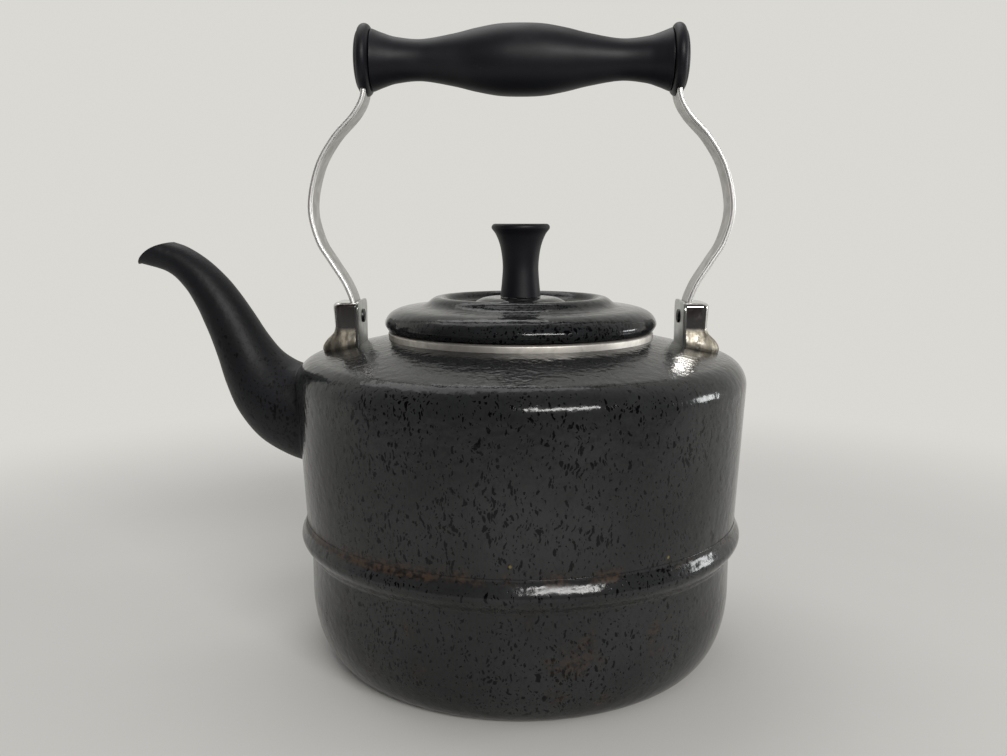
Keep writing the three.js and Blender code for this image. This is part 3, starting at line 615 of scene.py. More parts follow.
def make_pan():
    """Drawn pan whose rolled bead holds the shell's foot."""
    low_radius = PAN_RADIUS - PAN_DRAFT
    corner = (low_radius - PAN_CORNER_REACH, PAN_CORNER_HEIGHT)
    outer = arc(corner, (PAN_CORNER_REACH, PAN_CORNER_HEIGHT), -90, 0, PAN_CORNER_STEPS)
    inner = arc(corner, (PAN_CORNER_REACH - SHEET, PAN_CORNER_HEIGHT - SHEET), 0, -90, PAN_INSIDE_STEPS)
    crest = PAN_RADIUS + BEAD_STAND
    bead = []
    for i in range(-CURVE_STEPS, CURVE_STEPS + 1):
        swell = (1 + math.cos(math.pi * i / CURVE_STEPS)) / 2
        if i < 0:
            height = BEAD_HEIGHT + BEAD_DROP * i / CURVE_STEPS
            bead.append((low_radius + (crest - low_radius) * swell**BEAD_FULLNESS, height))
            continue
        height = BEAD_HEIGHT + BEAD_RISE * i / CURVE_STEPS
        wall = SHELL_FOOT_RADIUS + (height - SHELL_FOOT_HEIGHT) * wall_slope + BEAD_LIP
        bead.append((wall + (crest - wall) * swell, height))
    shelf = SHELL_FOOT_HEIGHT - GAP
    lip = arc((bead[-1][0] - BEAD_LIP, bead[-1][1]), (BEAD_LIP, BEAD_LIP), 0, 90, ROUND_STEPS)
    profile = [(0, 0)] + outer + bead[:-1] + lip
    profile += [(SHELL_FOOT_RADIUS, shelf), (PAN_RADIUS - SHEET, shelf)] + inner + [(0, SHEET)]
    return turned("pan", profile, BODY_FACETS)


def make_mouth_ring():
    """Rolled ring that clips over the edge of the mouth."""
    half = (ring_outer - ring_bore) / 2
    middle = (ring_bore + half, ring_top - RING_CROWN / 2)
    crown = arc(middle, (half, RING_CROWN / 2), 0, 180, CURVE_STEPS)
    low = ring_seat - RING_SKIRT
    profile = [
        (ring_bore, low),
        (ring_skirt, low),
        (ring_skirt, shoulder_at(ring_skirt)),
        (ring_outer - SEAT_SINK, shoulder_at(ring_outer) - SEAT_SINK),
    ]
    return turned("mouth_ring", profile + crown, LID_FACETS, ring=True)


# Spout


def spout_edge(shares):
    """Points of an edge of the spout, in the plane through its middle."""
    return [Vector((-SPOUT_START - SPOUT_REACH * out, 0, SPOUT_LOW + SPOUT_RISE * up)) for out, up in shares]


spout_upper = spout_edge(upper_edge_shares)
spout_lower = spout_edge(lower_edge_shares)
spout_widths = [Vector((SPOUT_HALF_WIDTH * share, 0, 0)) for share in half_width_shares]


def spout_frame(share):
    """Middle, half rise, half width and outward direction of the spout's section."""
    top = curve_point(spout_upper, share)
    low = curve_point(spout_lower, share)
    rise = (top - low) / 2
    side = curve_point(spout_widths, share).x
    outwards = Vector((-rise.z, 0, rise.x)).normalized()
    return (top + low) / 2, rise, side, outwards


def spout_point(share, turn, wall, push=0):
    """A point of the spout's section, drawn in by a wall and pushed along the spout."""
    middle, rise, side, outwards = spout_frame(share)
    late = max(share - bow_start_share, 0) / (1 - bow_start_share)
    bow = SPOUT_BOW * late**2 * math.sin(turn) ** 2
    point = middle + rise.normalized() * (rise.length - wall) * math.cos(turn) + outwards * (bow + push)
    point.y = (side - wall) * math.sin(turn)
    return point


def spout_ring(share, wall, push=0):
    """A whole section of the spout."""
    return [spout_point(share, turn, wall, push) for turn in turns(SPOUT_FACETS)]


def root_share(turn, wall):
    """Where a line along the spout passes into the shell."""
    low = 0
    high = longest_root_share
    for _ in range(SEARCH_ROUNDS):
        middle = (low + high) / 2
        if wall_offset(spout_point(middle, turn, wall))[0] > -SEAT_SINK:
            high = middle
        else:
            low = middle
    return high


def filleted(share, turn):
    """A point of the outside, flared where it comes close to the shell."""
    point = spout_point(share, turn, 0)
    distance, away = wall_offset(point)
    short = SPOUT_FILLET - max(distance, 0)
    if short <= 0:
        return point
    rise, side = spout_frame(share)[1:3]
    facing = rise.normalized() * (math.cos(turn) / rise.length)
    facing.y = math.sin(turn) / side
    facing = (facing - away * facing.dot(away)).normalized()
    return point + facing * (SPOUT_FILLET - math.sqrt(SPOUT_FILLET**2 - short**2))


def make_spout():
    """Hollow spout with a rounded lip and a fillet round its root."""
    angles = turns(SPOUT_FACETS)
    outer_roots = [root_share(angle, 0) for angle in angles]
    inner_roots = [root_share(angle, SHEET) for angle in angles]
    steps = [(k / SPOUT_STEPS) ** SPOUT_CROWDING for k in range(SPOUT_STEPS + 1)]
    rings = []
    for step in steps[:-1]:
        ring = []
        for root, angle in zip(outer_roots, angles):
            ring.append(filleted(root + (1 - root) * step, angle))
        rings.append(ring)
    half = SHEET / 2
    for i in range(ROUND_STEPS + 1):
        angle = math.pi * i / ROUND_STEPS
        rings.append(spout_ring(1, half - half * math.cos(angle), half * math.sin(angle) - half))
    for step in reversed(steps[:-1:SPOUT_STRIDE]):
        ring = []
        for root, angle in zip(inner_roots, angles):
            ring.append(spout_point(root + (1 - root) * step, angle, SHEET))
        rings.append(ring)
    return skinned("spout", rings, ring=True)


# Lid


def make_lid_cover():
    """Pressed cover with a ring-shaped recess round a raised centre."""
    outside = [
        (LID_EDGE_RADIUS, LID_EDGE_RISE),
        (LID_WIDEST_RADIUS, LID_WIDEST_RISE),
        (LID_BEND_RADIUS, LID_BEND_RISE),
        (LID_DECK_RADIUS, LID_DECK_RISE),
        (LID_STEP_RADIUS, LID_STEP_RISE),
        (LID_RIM_RADIUS + LID_RIM_HALF_WIDTH, LID_RIM_RISE),
        (LID_RIM_RADIUS - LID_RIM_HALF_WIDTH, LID_RIM_RISE),
        (LID_CHANNEL_OUTER, LID_CHANNEL_RISE),
        (LID_CHANNEL_INNER, LID_CHANNEL_RISE),
        (LID_BOSS_RADIUS, LID_BOSS_RISE),
        (LID_BORE, LID_BOSS_RISE),
    ]
    outside = [(radius, height + lid_seat) for radius, height in rounded(outside, LID_FILLET)]
    inside = pushed(outside, SHEET)
    inside[0] = (inside[0][0], outside[0][1])
    inside[-1] = (outside[-1][0], inside[-1][1])
    return turned("lid_cover", outside + inside[::-1], LID_FACETS, ring=True)


def make_lid_sleeve():
    """Flange inside the lid, whose skirt enters the mouth."""
    skirt_outer = ring_bore - SLEEVE_FIT
    skirt_inner = skirt_outer - SLEEVE_SHEET
    rim_outer = LID_EDGE_RADIUS - SHEET - GAP
    rim_inner = rim_outer - SLEEVE_SHEET
    outside = [
        (skirt_outer, lid_seat - SLEEVE_DEPTH),
        (skirt_outer, lid_seat),
        (rim_outer, lid_seat),
        (rim_outer, lid_seat + SLEEVE_RIM),
    ]
    inside = [
        (rim_inner, lid_seat + SLEEVE_RIM),
        (rim_inner, lid_seat + SLEEVE_SHEET),
        (skirt_inner, lid_seat + SLEEVE_SHEET),
        (skirt_inner, lid_seat - SLEEVE_DEPTH),
    ]
    profile = rounded(outside, SLEEVE_ROUND) + rounded(inside, SLEEVE_ROUND)
    return turned("lid_sleeve", profile, LID_FACETS, ring=True)


def make_knob():
    """Turned knob with a faint dish in its top."""
    swell = KNOB_RADIUS - KNOB_WAIST_RADIUS
    flare = [(KNOB_WAIST_RADIUS + swell * out, KNOB_HEIGHT * up) for up, out in knob_shares]
    corner = (KNOB_RADIUS - KNOB_EDGE, KNOB_HEIGHT - KNOB_EDGE)
    edge = arc(corner, (KNOB_EDGE, KNOB_EDGE), KNOB_EDGE_START, 90, EDGE_STEPS)
    hollow = (KNOB_RADIUS - KNOB_DISH_MARGIN, KNOB_DISH)
    dish = arc((0, KNOB_HEIGHT), hollow, 0, -90, EDGE_STEPS)
    profile = [(0, 0)] + smooth(flare + edge[:1], KNOB_STEPS) + edge[1:] + dish
    return placed(turned("knob", profile, GRIP_FACETS), Matrix.Translation((0, 0, knob_base)))


# Handle: made on the +X side, and turned by half for the other

socket_x = LID_WIDEST_RADIUS + (SHOULDER_RADIUS - LID_WIDEST_RADIUS) * mouth_to_wall_share
socket_seat = shoulder_at(socket_x)
socket_top = socket_seat + SOCKET_RISE
strap_foot_x = socket_x + STRAP_THICKNESS / 2
strap_foot_z = socket_seat + STRAP_FOOT_RISE
clamp_height = socket_seat + CLAMP_RISE
grip_height = socket_seat + GRIP_RISE
cap_inner_x = GRIP_HALF_LENGTH + GAP
strap_top_x = cap_inner_x + CAP_WALL + GAP + STRAP_THICKNESS / 2
cap_face_x = cap_inner_x + CAP_THICKNESS + CAP_DOME
along_x = Matrix.Rotation(math.pi / 2, 4, "Y")
grip_place = Matrix.Translation((0, 0, grip_height)) @ along_x


def strap_line():
    """Points of a strap's middle line, from its foot to the grip's axis."""
    belly_x = strap_foot_x + STRAP_BULGE
    belly_z = socket_seat + STRAP_BELLY_RISE
    points = []
    for out, up in strap_lower_shares:
        rise = (belly_z - strap_foot_z) * up
        points.append(Vector((strap_foot_x + STRAP_BULGE * out, 0, strap_foot_z + rise)))
    for out, up in strap_upper_shares:
        reach = (belly_x - strap_top_x) * out
        points.append(Vector((strap_top_x + reach, 0, belly_z + (grip_height - belly_z) * up)))
    return points


def strap_section(middle, along, half, width):
    """Points round a strap, with eased edges."""
    across = Vector((along.z, 0, -along.x)).normalized()
    bevel = (STRAP_BEVEL, STRAP_BEVEL)
    corners = [(1, 1, 0), (-1, 1, 90), (-1, -1, 180), (1, -1, 270)]
    ring = []
    for out, side, start in corners:
        corner = (out * (half - STRAP_BEVEL), side * (width - STRAP_BEVEL))
        for x, y in arc(corner, bevel, start, start + 90, BEVEL_STEPS):
            point = middle + across * x
            point.y = y
            ring.append(point)
    return ring


def make_strap(grow=0):
    """Bent strap with a round upper end, grown by a clearance where it serves as a tool."""
    points = strap_line()
    half = STRAP_THICKNESS / 2 + grow
    width = STRAP_HALF_WIDTH + grow
    step = 1 / STRAP_STEPS
    rings = []
    for k in range(STRAP_STEPS + 1):
        share = k * step
        along = curve_point(points, min(share + step, 1)) - curve_point(points, max(share - step, 0))
        rings.append(strap_section(curve_point(points, share), along, half, width))
    for k in range(1, EDGE_STEPS):
        angle = math.pi / 2 * k / EDGE_STEPS
        middle = Vector((strap_top_x, 0, grip_height + width * math.sin(angle)))
        narrow = max(width * math.cos(angle), STRAP_BEVEL * 2)
        rings.append(strap_section(middle, Vector((0, 0, 1)), half, narrow))
    return skinned("strap", rings)


def hood_plan(grow_x, grow_y, shrink=1):
    """Plan of the hood, grown outwards and sideways, with its flat side towards the lid."""
    outer = socket_x + SOCKET_DEPTH + grow_x
    side = SOCKET_HALF_WIDTH + grow_y
    corner = SOCKET_CORNER + max(grow_x, 0)
    plan = []
    for i in range(EDGE_STEPS):
        plan.append((socket_x + (outer - corner - socket_x) * i / EDGE_STEPS, -side))
    plan += arc((outer - corner, corner - side), (corner, corner), -90, 0, ROUND_STEPS)
    for i in range(1, EDGE_STEPS):
        plan.append((outer, (corner - side) * (1 - 2 * i / EDGE_STEPS)))
    plan += arc((outer - corner, side - corner), (corner, corner), 0, 90, ROUND_STEPS)
    for i in range(1, EDGE_STEPS + 1):
        plan.append((outer - corner + (socket_x - outer + corner) * i / EDGE_STEPS, side))
    middle = Vector(((socket_x + outer) / 2, 0))
    return [middle.lerp(Vector(point), shrink) for point in plan]


def make_socket():
    """Pressed hood whose foot flares out and lies along the curved shoulder."""
    flare_z = socket_seat + FLARE_RISE
    rings = []
    for shrink in foot_ring_shares:
        ring = []
        for point in hood_plan(FOOT_REACH_X - FOOT_UNDERCUT, FOOT_REACH_Y - FOOT_UNDERCUT, shrink):
            ring.append((point.x, point.y, shoulder_at(point.length) - SEAT_SINK))
        rings.append(ring)
    for reach, drop in smooth(flare_shares + [(0, 0)], CURVE_STEPS):
        ring = []
        for point in hood_plan(FOOT_REACH_X * reach, FOOT_REACH_Y * reach):
            foot = shoulder_at(point.length) + FOOT_EDGE
            ring.append((point.x, point.y, flare_z + (foot - flare_z) * drop))
        rings.append(ring)
    for k in range(CROWN_STEPS + 1):
        angle = math.pi / 2 * k / CROWN_STEPS
        shrink = math.cos(angle) - 1
        plan = hood_plan(SOCKET_LEAN + SOCKET_CROWN_X * shrink, SOCKET_CROWN_Y * shrink)
        height = socket_top - SOCKET_CROWN_Y * (1 - math.sin(angle))
        rings.append([(point.x, point.y, height) for point in plan])
    hood = bevelled(skinned("socket", rings), SOCKET_BEVEL, HOOD_SHARP_ANGLE)
    width = STRAP_HALF_WIDTH + GAP
    pocket = block(
        "pocket",
        (socket_x - OVERRUN, -width, strap_foot_z - GAP),
        (strap_foot_x + STRAP_THICKNESS / 2 + GAP, width, socket_top + OVERRUN),
    )
    return carved(hood, pocket)


def make_socket_plate():
    """Plate with round upper corners that closes the hood towards the lid."""
    side = PLATE_HALF_WIDTH
    top = socket_top + PLATE_MARGIN
    corner = (PLATE_CORNER, PLATE_CORNER)
    bottom = shoulder_at(math.hypot(socket_x, side)) - SEAT_SINK * 2
    outline = [(side, bottom)]
    outline += arc((side - PLATE_CORNER, top - PLATE_CORNER), corner, 0, 90, EDGE_STEPS)
    outline += arc((PLATE_CORNER - side, top - PLATE_CORNER), corner, 90, 180, EDGE_STEPS)
    outline.append((-side, bottom))
    inner_x = socket_x - GAP - PLATE_THICKNESS
    rings = [[(x, y, z) for y, z in outline] for x in (inner_x, socket_x - GAP)]
    return bevelled(skinned("socket_plate", rings), PLATE_BEVEL)


def slot_tool(top):
    """The slot across a head whose face looks up at a height."""
    reach = HEAD_RADIUS * 2
    low = (-reach, -SLOT_WIDTH / 2, top - SLOT_DEPTH)
    return block("slot", low, (reach, SLOT_WIDTH / 2, top + OVERRUN))


def make_clamp_screw():
    """Slotted round head against the socket's plate."""
    profile = [(0, -SCREW_LENGTH), (SHANK_RADIUS, -SCREW_LENGTH), (SHANK_RADIUS, 0), (CLAMP_HEAD_RADIUS, 0)]
    dome = (CLAMP_HEAD_RADIUS, CLAMP_HEAD_HEIGHT - HEAD_ROUND)
    profile += arc((0, HEAD_ROUND), dome, 0, 90, EDGE_STEPS)
    screw = carved(turned("clamp_screw", profile, SMALL_FACETS), slot_tool(CLAMP_HEAD_HEIGHT))
    face = Matrix.Translation((socket_x - GAP - PLATE_THICKNESS, 0, clamp_height))
    return placed(screw, face @ Matrix.Rotation(-math.pi / 2, 4, "Y"))


def make_cap_screw():
    """Countersunk slotted screw, flush with the cap's face."""
    profile = [
        (0, cap_face_x - SCREW_LENGTH),
        (SHANK_RADIUS, cap_face_x - SCREW_LENGTH),
        (SHANK_RADIUS, cap_face_x - HEAD_HEIGHT),
        (HEAD_RADIUS, cap_face_x),
        (0, cap_face_x),
    ]
    screw = carved(turned("cap_screw", profile, SMALL_FACETS), slot_tool(cap_face_x))
    return placed(screw, grip_place)


def make_end_cap():
    """Round cap over the grip's end, slotted for the strap and sunk for its screw."""
    half = CAP_THICKNESS / 2
    rim_radius = CAP_RADIUS - half
    rim = arc((rim_radius, cap_inner_x + half), (half, half), -90, 90, CURVE_STEPS)
    dome = arc((0, cap_face_x - CAP_DOME), (rim_radius, CAP_DOME), 0, 90, CURVE_STEPS)
    head = HEAD_RADIUS + GAP
    profile = [(SHANK_RADIUS + GAP, cap_inner_x)] + rim
    profile += [point for point in dome[1:] if point[0] > head]
    profile += [(head, cap_face_x), (SHANK_RADIUS + GAP, cap_face_x - HEAD_HEIGHT - GAP)]
    cap = placed(turned("end_cap", profile, GRIP_FACETS, ring=True), grip_place)
    return carved(cap, make_strap(GAP))


def make_grip():
    """Turned grip with a fat middle, waists and flared ends."""
    swell = GRIP_BELLY_RADIUS - GRIP_NECK_RADIUS
    half = [(GRIP_NECK_RADIUS + swell * up, GRIP_HALF_LENGTH * out) for out, up in grip_shares]
    whole = [(radius, -height) for radius, height in half[:0:-1]] + half
    line = smooth(whole, GRIP_STEPS)
    first = rounded([(GRIP_BORE, -GRIP_HALF_LENGTH), line[0], line[2]], GRIP_END_ROUND)
    last = rounded([line[-3], line[-1], (GRIP_BORE, GRIP_HALF_LENGTH)], GRIP_END_ROUND)
    return placed(turned("grip", first + line[3:-3] + last, GRIP_FACETS, ring=True), grip_place)


# Materials

MIX_INPUTS = (6, 7)  # the colours of a mix node
MIX_OUTPUT = 2
grime_low = BEAD_HEIGHT + BEAD_RISE / 2


def add(tree, kind, inputs=None, **settings):
    """A node with its settings, values and incoming links."""
    made = tree.nodes.new("ShaderNode" + kind)
    for name, value in settings.items():
        setattr(made, name, value)
    for name, value in (inputs or {}).items():
        if isinstance(value, bpy.types.NodeSocket):
            tree.links.new(value, made.inputs[name])
        else:
            made.inputs[name].default_value = value
    return made


def calc(tree, operation, first, second=0.0):
    """The result of a sum on one or two values."""
    return add(tree, "Math", {0: first, 1: second}, operation=operation).outputs[0]


def plus(tree, first, second):
    """Two values added."""
    return calc(tree, "ADD", first, second)


def minus(tree, first, second):
    """The first value less the second."""
    return calc(tree, "SUBTRACT", first, second)


def times(tree, first, second):
    """Two values multiplied."""
    return calc(tree, "MULTIPLY", first, second)


def larger(tree, first, second):
    """The larger of two values."""
    return calc(tree, "MAXIMUM", first, second)


def vector_calc(tree, operation, first, second):
    """The result of a sum on two vectors."""
    return add(tree, "VectorMath", {0: first, 1: second}, operation=operation).outputs[0]


def part_of(tree, place, axis):
    """One coordinate of a place."""
    return add(tree, "SeparateXYZ", {0: place}).outputs[axis]


def between(tree, value, low, high):
    """A soft step from zero at one value to one at another."""
    inputs = {"Value": value, "From Min": low, "From Max": high}
    return add(tree, "MapRange", inputs, interpolation_type="SMOOTHSTEP").outputs[0]


def ranged(tree, value, low, high):
    """A value from zero to one, stretched between two others."""
    return add(tree, "MapRange", {"Value": value, "To Min": low, "To Max": high}).outputs[0]


def mixed(tree, factor, first, second):
    """A colour on the way from one to another."""
    inputs = {0: factor}
    for slot, colour in zip(MIX_INPUTS, (first, second)):
        inputs[slot] = colour if isinstance(colour, bpy.types.NodeSocket) else (*colour, 1)
    return add(tree, "Mix", inputs, data_type="RGBA").outputs[MIX_OUTPUT]


def scaled(colour, share):
    """A colour times a share."""
    return tuple(channel * share for channel in colour)


def stretched(tree, place, scale, shift=(0, 0, 0)):
    """Coordinates stretched by a scale for each axis and moved."""
    return add(tree, "Mapping", {"Vector": place, "Location": shift, "Scale": scale}).outputs[0]


def noise(tree, place, size, detail, distortion=0.0, output=0):
    """Soft noise of about a size in metres."""
    inputs = {"Vector": place, "Scale": 1 / size, "Detail": detail, "Distortion": distortion}
    return add(tree, "TexNoise", inputs).outputs[output]


def patches(tree, place, size, detail, low, high, distortion=0.0):
    """Soft patches where noise passes from one value to another."""
    return between(tree, noise(tree, place, size, detail, distortion), low, high)


def new_material(name):
    """A material, its node tree, its shader and the object's own coordinates."""
    material = bpy.data.materials.new(name)
    material.use_nodes = True
    tree = material.node_tree
    shader = tree.nodes["Principled BSDF"]
    place = add(tree, "TexCoord").outputs["Object"]
    return material, tree, shader, place


def finish_skin(tree, shader, colour, rough, relief, depth):
    """The shader's colour and roughness, and its relief of a depth in metres."""
    tree.links.new(colour, shader.inputs["Base Color"])
    tree.links.new(rough, shader.inputs["Roughness"])
    made = add(tree, "Bump", {"Height": relief, "Distance": depth, "Strength": 1.0})
    tree.links.new(made.outputs[0], shader.inputs["Normal"])


def flecks(tree, place, cell, stretch, amount, shift):
    """Dark slivers: one in each of some cells of a stretched lattice, of random size."""
    lattice = stretched(tree, place, (1 / cell, 1 / cell, 1 / (cell * stretch)), shift)
    cells = add(tree, "TexVoronoi", {"Vector": lattice, "Scale": 1.0})
    chance = add(tree, "SeparateColor", {0: cells.outputs["Color"]}).outputs[0]
    reach = minus(tree, ranged(tree, chance, 0.0, FLECK_REACH), minus(tree, FLECK_REACH, amount))
    return between(tree, minus(tree, reach, cells.outputs["Distance"]), 0.0, FLECK_EDGE)


def fleck_layers(tree, place, stretch, amount):
    """Flecks of three sizes, bent and leaning at random, that crowd in some places."""
    bent = place
    for size, detail, push in FLECK_DRIFTS:
        drift = noise(tree, place, size, detail, output="Color")
        drift = vector_calc(tree, "SUBTRACT", drift, (0.5, 0.5, 0.5))
        bent = vector_calc(tree, "ADD", bent, vector_calc(tree, "MULTIPLY", drift, push))
    crowding = minus(tree, noise(tree, place, *FLECK_CROWDS), 0.5)
    full = plus(tree, times(tree, crowding, CROWD_STRENGTH), amount)
    marks = 0.0
    for cell, longer, scarcer, shift in FLECK_LAYERS:
        layer = flecks(tree, bent, cell, stretch * longer, minus(tree, full, scarcer), shift)
        marks = larger(tree, marks, layer)
    return marks


def grime_on(tree, place, height):
    """Brown dirt: a patchy band over the bead, thicker towards the spout, and faint stains below it."""
    slant = times(tree, part_of(tree, place, "X"), GRIME_SLANT)
    cloud = plus(tree, noise(tree, place, *GRIME_CLOUDS), slant)
    above = between(tree, height, grime_low, grime_low + GRIME_FADE)
    below = between(tree, height, grime_low + GRIME_HEIGHT, grime_low + GRIME_FADE)
    band = times(tree, times(tree, above, below), between(tree, cloud, *GRIME_STEP))
    low = between(tree, height, BEAD_HEIGHT, BEAD_HEIGHT - BEAD_DROP)
    stains = times(tree, times(tree, low, patches(tree, place, *GRIME_STAINS)), STAIN_STRENGTH)
    return larger(tree, band, stains)


def make_enamel(name, grey, amount, stretch, gloss, specular=ENAMEL_SPECULAR, body=False, fade=None):
    """Dark speckled enamel on a wavy skin. The body also has grime and a rippled deck."""
    material, tree, shader, place = new_material(name)
    height = part_of(tree, place, "Z")
    if fade:
        amount = minus(tree, amount, times(tree, between(tree, height, *fade), FLECK_LOSS))
    marks = fleck_layers(tree, place, stretch, amount)
    streaks = patches(tree, stretched(tree, place, (1, 1, 1 / stretch)), *ENAMEL_STREAKS)
    dark, light = [scaled(grey, share) for share in cloud_shares]
    colour = mixed(tree, patches(tree, place, *ENAMEL_CLOUDS), dark, light)
    colour = mixed(tree, times(tree, streaks, STREAK_STRENGTH), colour, STREAK_COLOUR)
    colour = mixed(tree, marks, colour, FLECK_COLOUR)
    low, high = [gloss + step for step in ENAMEL_GLOSS_SPAN]
    rough = ranged(tree, noise(tree, place, *GLOSS_CLOUDS), low, high)
    relief = times(tree, marks, FLECK_DENT)
    for size, share in ENAMEL_WAVES:
        relief = plus(tree, relief, times(tree, noise(tree, place, size, WAVE_DETAIL), share))
    if body:
        dirt = grime_on(tree, place, height)
        brown = mixed(tree, patches(tree, place, *GRIME_CLUMPS), GRIME_DARK, GRIME_BROWN)
        colour = mixed(tree, times(tree, dirt, GRIME_COVER), colour, brown)
        rough = plus(tree, rough, times(tree, dirt, GRIME_ROUGHNESS))
        deck = between(tree, height, bend_z - SHOULDER_CORNER / 4, bend_z)
        ripple = times(tree, noise(tree, place, *DECK_RIPPLE), ripple_share)
        relief = plus(tree, relief, times(tree, deck, ripple))
    for chip in ENAMEL_CHIPS:
        far = add(tree, "VectorMath", {0: place, 1: chip}, operation="DISTANCE").outputs["Value"]
        colour = mixed(tree, between(tree, far, CHIP_RADIUS, CHIP_RADIUS / 2), colour, CHIP_COLOUR)
    shader.inputs["Specular IOR Level"].default_value = specular
    finish_skin(tree, shader, colour, rough, relief, ENAMEL_RELIEF)
    return material


def make_plastic():
    """Satin black moulding with a fine grain, dust and rubbed patches."""
    material, tree, shader, place = new_material("black_plastic")
    rubbed = patches(tree, place, *PLASTIC_WEAR)
    dust = times(tree, patches(tree, place, *DUST_SPECKS), DUST_STRENGTH)
    colour = mixed(tree, rubbed, PLASTIC_BLACK, PLASTIC_RUBBED)
    colour = mixed(tree, dust, colour, DUST_COLOUR)
    grain = noise(tree, place, *PLASTIC_GRAIN)
    rough = plus(tree, ranged(tree, rubbed, *PLASTIC_GLOSS), times(tree, grain, GRAIN_ROUGHNESS))
    relief = plus(tree, noise(tree, place, *PLASTIC_WAVES), times(tree, grain, grain_share))
    shader.inputs["Specular IOR Level"].default_value = PLASTIC_SPECULAR
    finish_skin(tree, shader, colour, rough, relief, PLASTIC_RELIEF)
    return material


def make_steel(name, colour, gloss, tarnish, brush=(1, 1, 1), depth=STEEL_RELIEF, foot=False, strap=False):
    """Worn bright steel with scratches and brown tarnish, thick on a foot. A strap has paler edges: partly
    rubbed steel, partly a painted highlight.
    """
    material, tree, shader, place = new_material(name)
    shader.inputs["Metallic"].default_value = 1.0
    worn = noise(tree, place, *STEEL_WEAR)
    scratches = noise(tree, stretched(tree, place, brush), *STEEL_SCRATCHES)
    shade = mixed(tree, between(tree, worn, *WEAR_STEP), colour, scaled(colour, worn_share))
    start, full = [step - tarnish * TARNISH_SPREAD for step in TARNISH_STEP]
    stain = times(tree, between(tree, noise(tree, place, *TARNISH_SPOTS), start, full), tarnish)
    if foot:
        fold, full = [socket_seat + FLARE_RISE * share for share in (1, foot_stain_share)]
        low = between(tree, part_of(tree, place, "Z"), fold, full)
        stain = larger(tree, stain, times(tree, low, patches(tree, place, *FOOT_STAINS)))
    tones = patches(tree, stretched(tree, place, TONE_STRETCH), *TARNISH_TONES)
    brown = mixed(tree, tones, TARNISH_DARK, TARNISH_LIGHT)
    shade = mixed(tree, times(tree, stain, TARNISH_COVER), shade, brown)
    # Both edges of a strap are painted paler: partly rubbed steel, partly a painted highlight along them
    if strap:
        across = calc(tree, "ABSOLUTE", part_of(tree, place, "Y"))
        start, full = [STRAP_HALF_WIDTH - STRAP_BEVEL * share for share in rubbed_and_highlight_edge_shares]
        shade = mixed(tree, between(tree, across, start, full), shade, RUBBED_AND_HIGHLIGHT_STEEL)
    low, high = [gloss + step for step in STEEL_GLOSS_SPAN]
    rough = plus(tree, ranged(tree, worn, low, high), times(tree, scratches, SCRATCH_ROUGHNESS))
    rough = plus(tree, rough, times(tree, stain, TARNISH_ROUGHNESS))
    relief = plus(tree, worn, times(tree, scratches, scratch_share))
    finish_skin(tree, shader, shade, rough, relief, depth)
    return material


shell_enamel = make_enamel("shell_enamel", ENAMEL_GREY, amount=0.46, stretch=2.3, gloss=0.12, body=True)
pan_enamel = make_enamel("pan_enamel", ENAMEL_GREY, amount=0.45, stretch=1.7, gloss=0.13, body=True)
lid_enamel = make_enamel("lid_enamel", LID_GREY, amount=0.52, stretch=1.2, gloss=0.1)
spout_enamel = make_enamel(
    "spout_enamel", SPOUT_GREY, amount=0.5, stretch=1.6, gloss=0.45, specular=0.22, fade=(0.13, 0.175)
)
black_plastic = make_plastic()
strap_steel = make_steel(
    "strap_steel", STRAP_STEEL, gloss=0.42, tarnish=0.12, brush=(1, 1, 0.12), depth=0.000003, strap=True
)
socket_steel = make_steel("socket_steel", STEEL, gloss=0.08, tarnish=0.25, foot=True)
plate_steel = make_steel("plate_steel", PLATE_STEEL, gloss=0.24, tarnish=0.12)
# The clamp screws' near-black steel is painted shade
painted_shade_steel = make_steel("painted_shade_steel", PAINTED_SHADE_STEEL, gloss=0.34, tarnish=0.1)
ring_steel = make_steel("ring_steel", RING_STEEL, gloss=0.48, tarnish=0.03)
plain_steel = make_steel("plain_steel", PLAIN_STEEL, gloss=0.32, tarnish=0.15)
brass = make_steel("brass", BRASS, gloss=0.3, tarnish=0.05)

# Pieces

half_turn = Matrix.Rotation(math.pi, 4, "Z")
dress("base_pan", make_pan(), pan_enamel)
dress("upper_shell", make_shell(), shell_enamel)
dress("mouth_ring", make_mouth_ring(), ring_steel)
dress("spout", make_spout(), spout_enamel)
dress("lid_cover", make_lid_cover(), lid_enamel)
dress("lid_sleeve", make_lid_sleeve(), lid_enamel)
dress("knob", make_knob(), black_plastic)
dress("grip", make_grip(), black_plastic)
side_pieces = [
    ("socket", make_socket, socket_steel),
    ("socket_plate", make_socket_plate, plate_steel),
    ("strap", make_strap, strap_steel),
    ("end_cap", make_end_cap, black_plastic),
    ("clamp_screw", make_clamp_screw, painted_shade_steel),
    ("cap_screw", make_cap_screw, plain_steel),
]
for side, turn in (("rear", Matrix.Identity(4)), ("front", half_turn)):
    for part, make, material in side_pieces:
        dress(side + "_" + part, placed(make(), turn), material)

# Pieces of the frame that show as they are
kept_finishes = {"plain_steel": plain_steel, "brass": brass}
for node, obj in frame["nodes"].items():
    if not obj.hide_render:
        obj.data.materials.clear()
        obj.data.materials.append(kept_finishes[slot_of[node]])


# Floor, camera and light


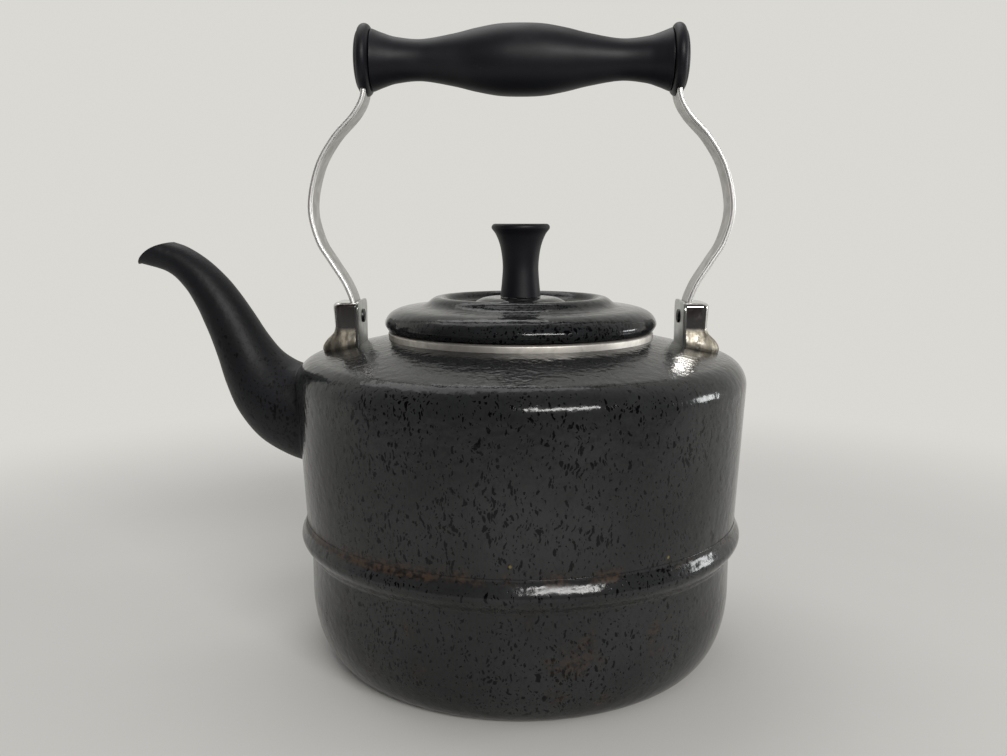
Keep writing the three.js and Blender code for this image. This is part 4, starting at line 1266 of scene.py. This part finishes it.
def make_floor():
    """Pale plain floor that fades into the backdrop's colour away from the kettle."""
    mesh = bpy.data.meshes.new("floor")
    mesh.from_pydata(circle(FLOOR_RADIUS, 0, FLOOR_FACETS), [], [list(range(FLOOR_FACETS))])
    floor = held(mesh)
    material, tree, shader, place = new_material("floor")
    mesh.materials.append(material)
    shader.inputs["Roughness"].default_value = FLOOR_ROUGHNESS
    shader.inputs["Specular IOR Level"].default_value = FLOOR_SPECULAR
    tint = mixed(tree, noise(tree, place, *FLOOR_TINT), FLOOR_COLOUR, scaled(FLOOR_COLOUR, paler_share))
    tree.links.new(tint, shader.inputs["Base Color"])
    path = add(tree, "LightPath").outputs
    behind = between(tree, part_of(tree, place, "Y"), -FLOOR_FADE_START, 0.0)
    shade = mixed(tree, larger(tree, behind, path["Is Camera Ray"]), ROOM_DARK, BACKDROP)
    glow = add(tree, "Emission", {"Color": shade, "Strength": 1.0})
    far = add(tree, "VectorMath", {0: place}, operation="LENGTH").outputs["Value"]
    fade = between(tree, far, FLOOR_FADE_START, FLOOR_FADE_STOP)
    seen = larger(tree, path["Is Camera Ray"], path["Is Glossy Ray"])
    seen = larger(tree, seen, path["Is Transmission Ray"])
    inputs = {0: times(tree, fade, seen), 1: shader.outputs[0], 2: glow.outputs[0]}
    joined = add(tree, "MixShader", inputs)
    tree.links.new(joined.outputs[0], tree.nodes["Material Output"].inputs["Surface"])


def make_camera():
    """Camera at the photograph's viewing angle."""
    data = bpy.data.cameras.new("camera")
    data.lens = FOCAL_PIXELS * data.sensor_width / IMAGE_WIDTH
    data.clip_start = CLIP_START
    camera = held(data)
    camera.location = CAMERA_PLACE
    camera.rotation_euler = (CAMERA_TILT, 0, CAMERA_TURN)
    bpy.context.scene.camera = camera


def make_lamp(name, azimuth, elevation, distance, size, power, colour):
    """Soft rectangular lamp, placed by its angles from the camera's side."""
    data = bpy.data.lights.new(name, "AREA")
    data.shape = "RECTANGLE"
    data.size, data.size_y = size
    data.energy = power
    data.color = colour
    turn = math.radians(azimuth)
    rise = math.radians(elevation)
    way = Vector((math.sin(turn) * math.cos(rise), -math.cos(turn) * math.cos(rise), math.sin(rise)))
    lamp = held(data)
    lamp.location = LAMP_TARGET + way * distance
    lamp.rotation_euler = way.to_track_quat("Z", "Y").to_euler()


def make_world():
    """Pale surroundings, with the darker room in front of the kettle where gloss sees it."""
    world = bpy.data.worlds.new("studio")
    world.use_nodes = True
    bpy.context.scene.world = world
    tree = world.node_tree
    way = add(tree, "TexCoord").outputs["Generated"]
    path = add(tree, "LightPath").outputs
    columns = patches(tree, stretched(tree, way, COLUMN_STRETCH), *ROOM_COLUMNS)
    behind = between(tree, part_of(tree, way, "Y"), -ROOM_FADE, ROOM_FADE)
    gloss = mixed(tree, behind, mixed(tree, columns, ROOM_SHADE, ROOM_DARK), BACKDROP)
    seen = larger(tree, path["Is Glossy Ray"], path["Is Transmission Ray"])
    colour = mixed(tree, seen, FILL, gloss)
    colour = mixed(tree, path["Is Camera Ray"], colour, BACKDROP)
    background = tree.nodes["Background"]
    tree.links.new(colour, background.inputs["Color"])
    background.inputs["Strength"].default_value = 1.0


make_floor()
make_camera()
make_world()
for lamp in LAMPS:
    make_lamp(*lamp)
bpy.context.scene.view_settings.view_transform = "Standard"
